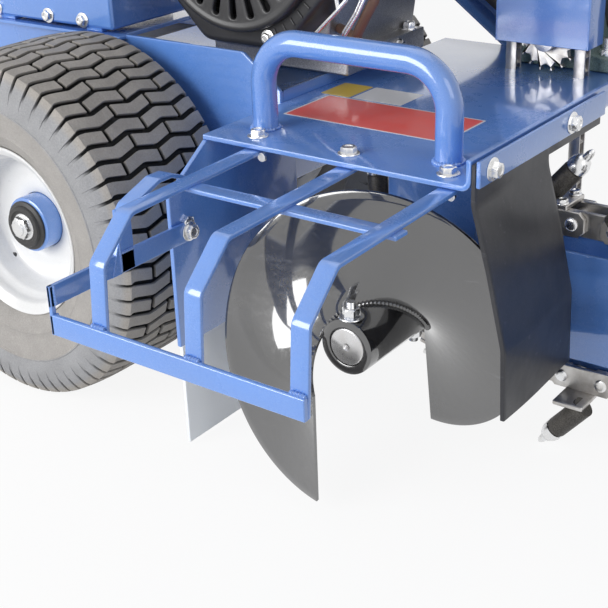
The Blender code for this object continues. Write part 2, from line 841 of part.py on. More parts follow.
def build_boom():
    """Digging boom that swings about the headshaft, with its nose axle."""
    joint("boom_lift", (HEAD_X, BOOM_Y, HEAD_Z))
    nose_x = HEAD_X + BOOM_PITCHES * CHAIN_PITCH
    rear_radius = 0.052
    nose_radius = 0.040
    half_high = 0.068
    cheek = []
    for k in range(5):
        angle = math.radians(120 + 30 * k)
        cheek.append((HEAD_X + rear_radius * math.cos(angle), HEAD_Z + rear_radius * math.sin(angle)))
    cheek.append((HEAD_X + 0.060, HEAD_Z - half_high))
    cheek.append((nose_x - 0.060, HEAD_Z - half_high))
    for k in range(5):
        angle = math.radians(-60 + 30 * k)
        cheek.append((nose_x + nose_radius * math.cos(angle), HEAD_Z + nose_radius * math.sin(angle)))
    cheek.append((nose_x - 0.060, HEAD_Z + half_high))
    cheek.append((HEAD_X + 0.060, HEAD_Z + half_high))
    hole = circle((HEAD_X, HEAD_Z), BEARING_BOSS + PIVOT_FIT)
    inner = 0.026
    thick = 0.006
    pieces = []
    for side in (-1, 1):
        near = BOOM_Y + side * inner
        far = BOOM_Y + side * (inner + thick)
        pieces.append(plate(cheek, min(near, far), max(near, far), "Y", [hole]))
    pitch_radius = CHAIN_PITCH / (2 * math.sin(math.pi / CHAIN_TEETH))
    wheel_room = pitch_radius + 0.42 * PIN_RADIUS + 0.008
    core = block((HEAD_X + wheel_room, BOOM_Y - inner - 0.001, HEAD_Z - 0.058),
                 (nose_x - wheel_room, BOOM_Y + inner + 0.001, HEAD_Z + 0.058))
    rail = pitch_radius - PIN_RADIUS - 0.0005
    start = HEAD_X + wheel_room
    end = nose_x - wheel_room
    ramp = 0.030
    wear = [(start, HEAD_Z - rail + 0.012), (start + ramp, HEAD_Z - rail),
            (end - ramp, HEAD_Z - rail), (end, HEAD_Z - rail + 0.012),
            (end, HEAD_Z + rail - 0.012), (end - ramp, HEAD_Z + rail),
            (start + ramp, HEAD_Z + rail), (start, HEAD_Z + rail - 0.012)]
    pieces.append(core)
    pieces.append(plate(wear, BOOM_Y - 0.009, BOOM_Y + 0.009, "Y"))
    pieces.append(rod((nose_x, BOOM_Y - inner - 0.012, HEAD_Z),
                      (nose_x, BOOM_Y + inner + 0.012, HEAD_Z), JACK_RADIUS))
    part("boom", fuse(pieces), blue_paint(), "boom_lift")

    joint("nose_spin", (nose_x, BOOM_Y, HEAD_Z), "boom_lift")
    nose = sprocket(CHAIN_TEETH, CHAIN_PITCH, PIN_RADIUS, 0.018, JACK_RADIUS + FIT,
                    (nose_x, BOOM_Y, HEAD_Z))
    part("nose_sprocket", nose, cast_grey(), "nose_spin")


def build_digging_chain():
    """Toothed chain: inner and outer plate links, through pins and a tooth on every other link."""
    pitch_radius = CHAIN_PITCH / (2 * math.sin(math.pi / CHAIN_TEETH))
    frames = link_frames(CHAIN_PITCH, CHAIN_TEETH, BOOM_PITCHES, (HEAD_X, BOOM_Y, HEAD_Z), pitch_radius)
    plate_half = 0.0160
    weld = 0.0004
    inner = CHAIN_GAP / 2
    outer = inner + CHAIN_PLATE - weld
    offsets = (0.047, -0.005, -0.047, 0.005)
    pieces = []
    teeth = 0
    for i, (place, way, away) in enumerate(frames):
        pin_end = Vector((0, inner + CHAIN_PLATE / 2, 0))
        pieces.append(rod(place - pin_end, place + pin_end, PIN_RADIUS, 6))
        start = inner if i % 2 else outer
        outline = oval(place, way, away, CHAIN_PITCH, plate_half, 2)
        for side in (-1, 1):
            near = BOOM_Y + side * start
            far = BOOM_Y + side * (start + CHAIN_PLATE)
            pieces.append(plate(outline, min(near, far), max(near, far), "Y"))
        if i % 2 == 0:
            pieces.extend(build_tooth((place, way, away), offsets[teeth % 4]))
            teeth += 1
    part("digging_chain", fuse(pieces), chain_steel(), "boom_lift")


def build_hangers():
    """Plates under the deck that carry the headshaft, with their flanged bearings."""
    top = -DECK_THICK - GAP
    low = HEAD_Z - 0.060
    half_wide = 0.060
    hole = circle((HEAD_X, HEAD_Z), BEARING_BOSS + FIT)
    corners = [(HEAD_X - half_wide, top), (HEAD_X - half_wide, low), (HEAD_X + half_wide, low),
               (HEAD_X + half_wide, top)]
    outline = filleted(corners, [0.0, 0.030, 0.030, 0.0], True, 3)
    inner_y = BOOM_Y - 0.072
    outer_y = inner_y - HANGER_THICK
    flange_y = outer_y - GAP
    profile = [(SHAFT_RADIUS + FIT, flange_y - 0.011), (SHAFT_RADIUS + FIT, BOOM_Y - 0.024),
               (BEARING_BOSS, BOOM_Y - 0.024), (BEARING_BOSS, flange_y),
               (BEARING_FLANGE, flange_y), (BEARING_FLANGE, flange_y - 0.009),
               (0.036, flange_y - 0.009), (0.034, flange_y - 0.011)]
    housing = turned(profile, "Y", (HEAD_X, 0, HEAD_Z))
    bolts = []
    for k in range(4):
        angle = math.radians(45 + 90 * k)
        spot = (HEAD_X + 0.044 * math.cos(angle), flange_y - 0.008, HEAD_Z + 0.044 * math.sin(angle))
        bolts.append(hexagon(spot, (0, -1, 0), 0.0075, 0.006))
    housing = fuse([housing, *bolts])
    plate_right = plate(outline, outer_y, inner_y, "Y", [hole])
    flip = Matrix.Diagonal((1, -1, 1, 1))
    flip.translation = Vector((0, 2 * BOOM_Y, 0))
    for shape, near, far, finish in ((plate_right, "right_hanger", "left_hanger", blue_paint()),
                                     (housing, "right_head_bearing", "left_head_bearing", steel())):
        twin = copy_of(shape)
        twin.data.transform(flip)
        twin.data.flip_normals()
        part(near, shape, finish)
        part(far, twin, finish)


def pillow_block(name, near, far):
    """Two-bolt cast bearing block for the jackshaft, standing on the deck."""
    foot = 0.016
    half = 0.0775
    crown = 0.034
    points = [(JACK_X - half, GAP), (JACK_X + half, GAP), (JACK_X + half, foot),
              (JACK_X + crown + 0.012, foot + 0.006)]
    for k in range(7):
        angle = math.radians(30 * k)
        points.append((JACK_X + crown * math.cos(angle), JACK_Z + crown * math.sin(angle)))
    points.append((JACK_X - crown - 0.012, foot + 0.006))
    points.append((JACK_X - half, foot))
    hole = circle((JACK_X, JACK_Z), JACK_RADIUS + FIT)
    body = plate(points, near, far, "Y", [hole])
    bolts = []
    for side in (-1, 1):
        spot = (JACK_X + side * 0.061, (near + far) / 2, foot - 0.001)
        bolts.append(hexagon(spot, "Z", 0.0095, 0.009))
    part(name, fuse([body, *bolts]), green_paint())


def loop_outline(first, first_radius, second, second_radius, arcs=10):
    """Outline of an open belt round two wheels, each with its own radius."""
    start = Vector(first)
    end = Vector(second)
    way = end - start
    lean = math.asin((first_radius - second_radius) / way.length)
    base = math.atan2(way.y, way.x)
    points = []
    half = math.pi / 2 - lean
    for k in range(arcs + 1):
        angle = base + half + (2 * math.pi - 2 * half) * k / arcs
        points.append((start.x + first_radius * math.cos(angle), start.y + first_radius * math.sin(angle)))
    for k in range(arcs + 1):
        angle = base - half + 2 * half * k / arcs
        points.append((end.x + second_radius * math.cos(angle), end.y + second_radius * math.sin(angle)))
    return points


def pulley(radius, bore, centre):
    """Wheel for one belt: two flanges, a groove and a dished web."""
    half = PULLEY_WIDTH / 2
    groove = BELT_WIDE / 2 + 0.001
    floor = radius - BELT_THICK - 0.002
    profile = [(radius, half), (radius, groove), (floor, groove - 0.001), (floor, 0.001 - groove),
               (radius, -groove), (radius, -half), (bore, -half), (bore, half)]
    return turned(profile, "Y", centre)


def build_jackshaft():
    """Jackshaft on the deck: chain wheel at its near end, belt pulley outside the deck."""
    pillow_block("inner_pillow_block", DRIVE_Y + 0.0300, DRIVE_Y + 0.0660)
    pillow_block("outer_pillow_block", DECK_LENGTH - 0.036, DECK_LENGTH - 0.001)
    joint("jackshaft_spin", (JACK_X, 0, JACK_Z))
    shaft = rod((JACK_X, DRIVE_Y - 0.0145, JACK_Z), (JACK_X, PULLEY_Y + 0.019, JACK_Z), JACK_RADIUS)
    part("jackshaft", shaft, steel(), "jackshaft_spin")
    bore = JACK_RADIUS + FIT
    wheel = sprocket(DRIVE_TEETH, DRIVE_PITCH, 0.006, 0.009, bore, (JACK_X, DRIVE_Y, JACK_Z))
    part("jackshaft_sprocket", wheel, steel(), "jackshaft_spin")
    part("driven_pulley", pulley(DRIVEN_PULLEY, bore, (JACK_X, PULLEY_Y, JACK_Z)), cast_grey(),
         "jackshaft_spin")


def build_roller_chain():
    """Roller chain from the jackshaft down to the headshaft: side bands and rollers."""
    pitch_radius = DRIVE_PITCH / (2 * math.sin(math.pi / DRIVE_TEETH))
    low = (HEAD_X, HEAD_Z)
    high = (HEAD_X, JACK_Z)
    band = 0.0075
    outer = loop_outline(low, pitch_radius + band, high, pitch_radius + band, 8)
    inner = loop_outline(low, pitch_radius - band, high, pitch_radius - band, 8)
    pieces = []
    for side in (-1, 1):
        near = DRIVE_Y + side * 0.0060
        far = DRIVE_Y + side * 0.0085
        pieces.append(plate(outer, min(near, far), max(near, far), "Y", [inner]))
    frames = link_frames(DRIVE_PITCH, DRIVE_TEETH, DRIVE_STRAIGHT, (0, DRIVE_Y, 0), pitch_radius)
    for place, _, _ in frames:
        spot = Vector((HEAD_X - place.z, DRIVE_Y, HEAD_Z + place.x))
        reach = Vector((0, 0.0070, 0))
        pieces.append(rod(spot - reach, spot + reach, 0.0059, 4))
    part("roller_chain", fuse(pieces), chain_steel())


def build_jackshaft_cover():
    """Folded steel cover over the upper chain wheel, open at the bottom."""
    half = 0.054
    top = JACK_Z + 0.115
    wall = 0.003
    chamfer = 0.030
    near = DRIVE_Y - 0.0225
    far = DRIVE_Y + 0.0225
    outer = [(JACK_X - half - 0.012, GAP), (JACK_X + half + 0.012, GAP),
             (JACK_X + half + 0.012, top - chamfer), (JACK_X + half + 0.012 - chamfer, top),
             (JACK_X - half - 0.012 + chamfer, top), (JACK_X - half - 0.012, top - chamfer)]
    inner = [(JACK_X - half - 0.009, -0.010), (JACK_X + half + 0.009, -0.010),
             (JACK_X + half + 0.009, top - chamfer - 0.001),
             (JACK_X + half + 0.010 - chamfer, top - wall),
             (JACK_X - half - 0.010 + chamfer, top - wall),
             (JACK_X - half - 0.009, top - chamfer - 0.001)]
    body = plate(outer, near, far, "Y")
    room = plate(inner, near + wall, far - wall, "Y")
    hole = rod((JACK_X, far - 0.010, JACK_Z), (JACK_X, far + 0.010, JACK_Z), JACK_RADIUS + 0.003)
    part("jackshaft_cover", cut(body, [room, hole]), blue_paint())


def build_belt_drive():
    """Drive belt from the engine to the jackshaft, under its guard."""
    low = (JACK_X, JACK_Z)
    high = (CRANK_X, CRANK_Z)
    seat = BELT_THICK + 0.001
    outer = loop_outline(low, DRIVEN_PULLEY - 0.001, high, ENGINE_PULLEY - 0.001, 14)
    inner = loop_outline(low, DRIVEN_PULLEY - seat, high, ENGINE_PULLEY - seat, 14)
    belt = plate(outer, PULLEY_Y - BELT_WIDE / 2, PULLEY_Y + BELT_WIDE / 2, "Y", [inner])
    part("drive_belt", belt, belt_rubber())
    room = 0.022
    wall = 0.003
    near = DECK_LENGTH + GAP
    far = PULLEY_Y + PULLEY_WIDTH / 2 + 0.010
    shell = loop_outline(low, DRIVEN_PULLEY + room + wall, high, ENGINE_PULLEY + room + wall, 12)
    hollow = loop_outline(low, DRIVEN_PULLEY + room, high, ENGINE_PULLEY + room, 12)
    body = plate(shell, near, far, "Y")
    space = plate(hollow, near - 0.010, far - wall, "Y")
    part("belt_guard", cut(body, [space]), blue_paint())


def build_chassis():
    """Welded main frame: side plates, engine bed, cross plates and the caster beam."""
    side = [(CHASSIS_BACK_X, CHASSIS_TOP), (CHASSIS_BACK_X, CHASSIS_LOW + 0.010),
            (AXLE_X - 0.090, CHASSIS_LOW), (AXLE_X - 0.060, AXLE_Z - 0.045),
            (AXLE_X + 0.060, AXLE_Z - 0.045), (AXLE_X + 0.090, CHASSIS_LOW),
            (DECK_BACK_X - 0.0006, CHASSIS_LOW + 0.010), (DECK_BACK_X - 0.0006, BED_TOP),
            (-0.130, CHASSIS_TOP)]
    radii = [0.0, 0.0, 0.015, 0.025, 0.025, 0.015, 0.0, 0.0, 0.010]
    outline = filleted(side, radii, True, 3)
    hole = circle((AXLE_X, AXLE_Z), AXLE_TUBE + FIT)
    inner = CHASSIS_SIDE + CHASSIS_THICK
    low_y = CHASSIS_SIDE
    high_y = 2 * CENTRE_Y - CHASSIS_SIDE
    front_x = DECK_BACK_X - 0.0006
    weld = 0.001
    pieces = [plate(outline, low_y, inner, "Y", [hole]),
              plate(outline, high_y - CHASSIS_THICK, high_y, "Y", [hole])]
    within = inner - weld
    beyond = 2 * CENTRE_Y - inner + weld
    pieces.append(block((-0.420, within, BED_TOP - 0.006), (front_x - 0.001, beyond, BED_TOP - GAP)))
    pieces.append(block((front_x - 0.006, within, CHASSIS_LOW + 0.012), (front_x, beyond, BED_TOP - 0.001)))
    pieces.append(block((CHASSIS_BACK_X, within, CHASSIS_LOW + 0.012),
                        (CHASSIS_BACK_X + 0.006, beyond, CHASSIS_TOP - 0.040)))
    pieces.append(block((CASTER_X - 0.025, within, CASTER_BEAM_Z),
                        (CASTER_X + 0.025, beyond, CASTER_BEAM_Z + CASTER_BEAM_HIGH)))
    pieces.append(block((-0.610, within, CHASSIS_TOP - 0.006), (-0.335, CENTRE_Y + 0.010, CHASSIS_TOP)))
    pieces.append(block((CHASSIS_BACK_X, low_y - 0.014, CHASSIS_TOP - 0.005),
                        (-0.330, low_y + weld, CHASSIS_TOP)))
    pieces.append(block((CHASSIS_BACK_X, high_y - weld, CHASSIS_TOP - 0.005),
                        (-0.330, high_y + 0.014, CHASSIS_TOP)))
    body = fuse(pieces)
    cutters = []
    for side_sign in (-1, 1):
        y = CENTRE_Y + side_sign * CASTER_Y
        cutters.append(rod((CASTER_X, y, CASTER_BEAM_Z - 0.010),
                           (CASTER_X, y, CASTER_BEAM_Z + CASTER_BEAM_HIGH + 0.010), 0.012 + FIT))
    part("chassis", cut(body, cutters), blue_paint())


def build_transaxle():
    """Gear case between the side plates, with the two axle tubes."""
    inner = CHASSIS_SIDE + CHASSIS_THICK
    case = rounded_block((AXLE_X - 0.060, inner + 0.045, AXLE_Z - 0.050),
                         (AXLE_X + 0.060, 2 * CENTRE_Y - inner - 0.045, AXLE_Z + 0.060), 0.012, 2)
    start = TYRE_Y + 0.086
    sleeve = rod((AXLE_X, start, AXLE_Z), (AXLE_X, 2 * CENTRE_Y - start, AXLE_Z), AXLE_TUBE)
    body = fuse([case, sleeve])
    bore = AXLE_RADIUS + FIT
    holes = [rod((AXLE_X, start - 0.01, AXLE_Z), (AXLE_X, start + 0.075, AXLE_Z), bore),
             rod((AXLE_X, 2 * CENTRE_Y - start + 0.01, AXLE_Z),
                 (AXLE_X, 2 * CENTRE_Y - start - 0.075, AXLE_Z), bore)]
    part("transaxle", cut(body, holes), cast_aluminium())


def build_wheels():
    """Two drive wheels: axle with hub, pressed rim and a wide turf tyre."""
    place = (AXLE_X, TYRE_Y, AXLE_Z)
    edge = RIM_HALF
    wall = RIM_WALL
    seat = RIM_RADIUS - RIM_LIP
    disc = RIM_DISC_Y
    hub = HUB_RADIUS
    well = seat - RIM_DROP
    rim = turned([
        (RIM_RADIUS, -edge), (seat, -edge + 0.008), (well, -0.030), (well, 0.040),
        (seat, edge - 0.008), (RIM_RADIUS, edge), (seat - wall, edge - 0.006),
        (well - wall, 0.042), (well - wall, disc + 0.006), (hub + FIT, disc + 0.006),
        (hub + FIT, disc + 0.001), (well - wall, disc + 0.001), (seat - wall, -edge + 0.006)][::-1],
        "Y", place, WHEEL_SIDES, True)
    tread = TYRE_RADIUS / math.cos(math.pi / WHEEL_SIDES)
    half = TYRE_WIDTH / 2
    bead = seat + GAP + 0.0012
    lip = edge - 0.0040
    bulge = (seat + tread) / 2 - 0.006
    upper = tread - 0.033
    inside = tread - TREAD_WALL
    cheek = bulge - SIDEWALL
    tyre = turned([
        (bead + 0.014, -lip - 0.004), (bulge, -half), (upper, -half + 0.002),
        (tread - 0.012, -half + 0.014), (tread, -half + 0.044), (tread, half - 0.044),
        (tread - 0.012, half - 0.014), (upper, half - 0.002), (bulge, half),
        (bead + 0.014, lip + 0.004), (bead, lip - 0.012), (cheek, half - SIDEWALL),
        (inside, half - 0.030), (inside, -half + 0.030), (cheek, -half + SIDEWALL),
        (bead, -lip + 0.012)][::-1], "Y", place, WHEEL_SIDES, True)
    axle = turned([
        (0, -0.0720), (0.0160, -0.0720), (0.0160, -0.0600), (hub, -0.0600),
        (hub, disc + 0.0065 + GAP), (0.058, disc + 0.0115 + GAP),
        (0.058, disc + 0.0180), (0.030, disc + 0.0180), (0.030, 0.0850),
        (AXLE_RADIUS, 0.0850), (AXLE_RADIUS, 0.1560), (0, 0.1560)][::-1], "Y", place)
    joint("right_wheel_spin", place)
    joint("left_wheel_spin", (AXLE_X, 2 * CENTRE_Y - TYRE_Y, AXLE_Z))
    for piece, name, finish in ((axle, "axle", blue_paint()), (rim, "rim", rim_paint()),
                                (tyre, "tyre", tyre_rubber())):
        part("left_" + name, mirrored(piece, "left_" + name), finish, "left_wheel_spin")
        part("right_" + name, piece, finish, "right_wheel_spin")


def build_casters():
    """Two trailing casters under the rear beam."""
    wheel_z = GROUND_Z + CASTER_RADIUS
    crown = CASTER_BEAM_Z - GAP
    tread = CASTER_RADIUS / math.cos(math.pi / WHEEL_SIDES)
    half = CASTER_WIDTH / 2
    gap = half + 0.0025
    leg = 0.005
    pin = 0.006
    for name, side in (("right", -1), ("left", 1)):
        y = CENTRE_Y + side * CASTER_Y
        axle_x = CASTER_X - CASTER_TRAIL
        outline = [(CASTER_X + 0.024, crown), (CASTER_X - 0.024, crown), (axle_x - 0.014, wheel_z + 0.010),
                   (axle_x - 0.008, wheel_z - 0.014), (axle_x + 0.008, wheel_z - 0.014),
                   (axle_x + 0.016, wheel_z + 0.010)]
        pieces = [block((CASTER_X - 0.026, y - gap - leg, crown - 0.008),
                        (CASTER_X + 0.026, y + gap + leg, crown))]
        for way in (-1, 1):
            near = y + way * gap
            far = y + way * (gap + leg)
            pieces.append(plate(outline, min(near, far), max(near, far), "Y"))
        pieces.append(rod((CASTER_X, y, crown - 0.004),
                          (CASTER_X, y, CASTER_BEAM_Z + CASTER_BEAM_HIGH + 0.012), 0.012))
        pieces.append(rod((axle_x, y - gap - leg - 0.004, wheel_z),
                          (axle_x, y + gap + leg + 0.004, wheel_z), pin))
        joint(name + "_caster_swivel", (CASTER_X, y, CASTER_BEAM_Z))
        joint(name + "_caster_spin", (axle_x, y, wheel_z), name + "_caster_swivel")
        part(name + "_caster_fork", fuse(pieces), blue_paint(), name + "_caster_swivel")
        wheel = turned([(tread, -half + 0.006), (tread, half - 0.006), (tread - 0.008, half),
                        (pin + FIT, half), (pin + FIT, -half), (tread - 0.008, -half)][::-1],
                       "Y", (axle_x, y, wheel_z), WHEEL_SIDES, True)
        part(name + "_caster_wheel", wheel, tyre_rubber(), name + "_caster_spin")


def build_counterweight():
    """Cast ballast blocks over the caster beam, stepped round it."""
    inner = CHASSIS_SIDE + CHASSIS_THICK + GAP
    beam_top = CASTER_BEAM_Z + CASTER_BEAM_HIGH
    back = CHASSIS_BACK_X + 0.006 + GAP
    front = AXLE_X - 0.090
    low = CHASSIS_LOW + 0.012
    top = BAR_FOOT[1] - GAP
    outline = [(back, beam_top + GAP + 0.013), (CASTER_X + 0.025 + 0.0006, beam_top + GAP + 0.013),
               (CASTER_X + 0.025 + 0.0006, low), (front, low), (front, top), (back, top)]
    part("counterweight", plate(outline, inner, 2 * CENTRE_Y - inner, "Y"), cast_grey())


def build_engine():
    """Crankcase with its foot, crankshaft, fan, blower housing and finned cylinder."""
    centre = (CRANK_X, 0, CRANK_Z)
    tilt = math.radians(CYLINDER_TILT)
    out = Vector((math.cos(tilt), math.sin(tilt)))
    side = Vector((-out.y, out.x))
    hub = Vector((CRANK_X, CRANK_Z))
    face = 0.100
    top = 0.312
    upper = hub + out * face + side * 0.055
    lower = hub + out * face - side * 0.055
    outline = [(-0.245, 0.040), (-0.060, 0.040), tuple(lower), tuple(upper), (-0.110, top),
               (-0.225, top), (-0.245, 0.290)]
    case = plate(filleted(outline, [0.0, 0.0, 0.0, 0.0, 0.0, 0.0, 0.0], True), CASE_START_Y,
                 CASE_END_Y - 0.010, "Y")
    foot = block((-0.262, 0.250, BED_TOP), (-0.040, CASE_END_Y - 0.0105, 0.042))
    boss = rod((CRANK_X, CASE_END_Y - 0.012, CRANK_Z), (CRANK_X, CASE_END_Y + 0.030, CRANK_Z), 0.050)
    bolts = []
    for x in (-0.252, -0.050):
        for y in (0.275, 0.415):
            bolts.append(hexagon((x, y, 0.041), "Z", 0.008, 0.008))
    body = fuse([case, foot, boss, *bolts])
    shaft_radius = 0.0127
    bore = rod((CRANK_X, CASE_START_Y - 0.01, CRANK_Z), (CRANK_X, CASE_END_Y + 0.04, CRANK_Z),
               shaft_radius + FIT)
    part("crankcase", cut(body, [bore]), cast_aluminium())

    joint("crankshaft_spin", centre)
    shaft = rod((CRANK_X, BLOWER_Y + 0.006, CRANK_Z), (CRANK_X, PULLEY_Y + 0.019, CRANK_Z), shaft_radius)
    part("crankshaft", shaft, steel(), "crankshaft_spin")
    part("engine_pulley", pulley(ENGINE_PULLEY, shaft_radius + FIT, (CRANK_X, PULLEY_Y, CRANK_Z)),
         cast_grey(), "crankshaft_spin")
    fan_near = BLOWER_Y + 0.010
    disc = washer((CRANK_X, fan_near + 0.034, CRANK_Z), "Y", 0.100, shaft_radius + FIT, 0.004)
    blades = []
    for k in range(8):
        angle = 2 * math.pi * k / 8
        blade = block((0.045, fan_near, -0.002), (0.098, fan_near + 0.033, 0.002))
        blade.data.transform(Matrix.Rotation(math.radians(25), 4, "Y"))
        blade.data.transform(Matrix.Translation((0.006, 0, 0.020)))
        blade.data.transform(Matrix.Rotation(angle, 4, "Y"))
        blade.data.transform(Matrix.Translation((CRANK_X, 0, CRANK_Z)))
        blades.append(blade)
    part("cooling_fan", fuse([disc, *blades]), black_plastic(), "crankshaft_spin")

    half = BLOWER_HALF
    chamfer = 0.055
    wall = 0.003

    def octagon(reach, corner):
        return [(CRANK_X - reach + corner, CRANK_Z - reach), (CRANK_X + reach - corner, CRANK_Z - reach),
                (CRANK_X + reach, CRANK_Z - reach + corner), (CRANK_X + reach, CRANK_Z + reach - corner),
                (CRANK_X + reach - corner, CRANK_Z + reach), (CRANK_X - reach + corner, CRANK_Z + reach),
                (CRANK_X - reach, CRANK_Z + reach - corner), (CRANK_X - reach, CRANK_Z - reach + corner)]

    back = CASE_START_Y - GAP
    shell = plate(octagon(half, chamfer), BLOWER_Y, back, "Y")
    room = plate(octagon(half - wall, chamfer - 0.001), BLOWER_Y + wall, back - wall, "Y")
    mouth = rod((CRANK_X, BLOWER_Y - 0.01, CRANK_Z), (CRANK_X, BLOWER_Y + 0.01, CRANK_Z), 0.112)
    rear = rod((CRANK_X, back - 0.01, CRANK_Z), (CRANK_X, back + 0.01, CRANK_Z), shaft_radius + 0.002)
    part("blower_housing", cut(shell, [room, mouth, rear]), black_plastic())

    slots = 24
    slot_out = 0.097
    slot_in = 0.062
    slot_half = 0.0050
    holes = []
    for k in range(slots):
        angle = 2 * math.pi * k / slots
        way = Vector((math.cos(angle), math.sin(angle)))
        cross = Vector((-way.y, way.x))
        ring = []
        for base, turn in ((slot_out, -90), (slot_in, 90)):
            for step in (0, 90, 180):
                bend = math.radians(turn + step)
                reach = slot_half if base == slot_out else slot_half * 0.6
                ring.append(hub + way * (base + reach * math.cos(bend)) + cross * reach * math.sin(bend))
        holes.append(ring)
    face_y = FAN_COVER_Y
    disc = plate(circle(hub, FAN_COVER_RADIUS - 0.006, WHEEL_SIDES), face_y, face_y + 0.004, "Y", holes)
    ring = turned([(FAN_COVER_RADIUS - 0.004, face_y - 0.001), (FAN_COVER_RADIUS - 0.010, face_y - 0.001),
                   (FAN_COVER_RADIUS - 0.010, BLOWER_Y - GAP), (FAN_COVER_RADIUS, BLOWER_Y - GAP),
                   (FAN_COVER_RADIUS, face_y + 0.003)], "Y", centre, WHEEL_SIDES)
    part("fan_cover", fuse([disc, ring]), black_plastic())

    start = face + GAP
    core = rod((start, 0, 0), (0.205, 0, 0), 0.047)
    pieces = [core]
    fins = 6
    for k in range(fins):
        x = start + 0.006 + k * 0.0155
        pieces.append(block((x, -0.058, -0.054), (x + 0.004, 0.058, 0.054)))
    pieces.append(block((0.1995, -0.058, -0.054), (0.2290, 0.058, 0.054)))
    cover = rounded_block((0.2285, -0.048, -0.044), (0.2520, 0.048, 0.044), 0.008)
    pieces.append(cover)
    lean = Matrix.Rotation(-tilt, 4, "Y")
    middle_y = 0.335
    for piece in pieces:
        piece.data.transform(Matrix.Translation((CRANK_X, middle_y, CRANK_Z)) @ lean)
    part("cylinder", fuse(pieces), cast_aluminium())

    port = hub + out * 0.2145 - side * 0.030
    body = rounded_block((-0.040, 0.405, 0.205), (0.105, 0.475, 0.305), 0.018, 2)
    pipe = rod((port.x, middle_y + 0.058 + GAP, port.y), (port.x, 0.412, port.y), 0.014, 10)
    part("muffler", fuse([body, pipe]), steel())

    cleaner = rounded_block((-0.292, 0.262, top + GAP), (-0.168, 0.402, top + 0.088), 0.014, 2)
    part("air_cleaner", cleaner, black_plastic())

    tank = rounded_block((-0.158, 0.240, 0.386), (0.050, 0.436, 0.462), 0.022, 2)
    legs = [block((-0.150, y, top + GAP), (-0.118, y + 0.022, 0.390)) for y in (0.252, 0.402)]
    neck_top = Vector(CAP_PLACE)
    neck = rod(neck_top - Vector((0, 0, 0.012)), neck_top, CAP_RADIUS - 0.008)
    part("fuel_tank", fuse([tank, *legs, neck]), black_plastic())
    joint("fuel_cap_turn", CAP_PLACE)
    cap = rod(neck_top + Vector((0, 0, GAP)), neck_top + Vector((0, 0, CAP_HIGH)), CAP_RADIUS, 12)
    part("fuel_cap", cap, black_plastic(), "fuel_cap_turn")


def build_reservoir():
    """Bolted oil tank on the frame beside the engine."""
    low = CHASSIS_TOP + GAP
    floor = low + PAD_HIGH
    near = TANK_NEAR_Y
    body = rounded_block((TANK_BACK_X, near, floor), (TANK_FRONT_X, CENTRE_Y, TANK_TOP), TANK_EDGE)
    pads = [block((x, near + TANK_EDGE, low), (x + PAD_LONG, CENTRE_Y - 0.010, floor + 0.001))
            for x in (TANK_BACK_X + 0.025, TANK_FRONT_X - 0.055)]
    rim = 0.006
    lid = block((TANK_BACK_X - rim, near - rim, TANK_TOP - 0.0005),
                (TANK_FRONT_X + rim, CENTRE_Y + rim, TANK_TOP + rim))
    filler_x = TANK_BACK_X + 0.060
    filler_y = (near + CENTRE_Y) / 2
    filler_top = TANK_TOP + 0.032
    filler = rod((filler_x, filler_y, TANK_TOP + 0.005), (filler_x, filler_y, filler_top), FILLER_RADIUS, 12)
    wall = TANK_WALL
    room = block((TANK_BACK_X + wall, near + wall, floor + wall),
                 (TANK_FRONT_X - wall, CENTRE_Y - wall, TANK_TOP - 2 * wall))
    mouth = rod((filler_x, filler_y, TANK_TOP - 4 * wall), (filler_x, filler_y, filler_top + 0.010),
                FILLER_RADIUS - 0.006, 12)
    body = fuse([body, *pads, lid, filler])
    part("reservoir", cut(body, [room, mouth]), blue_paint())


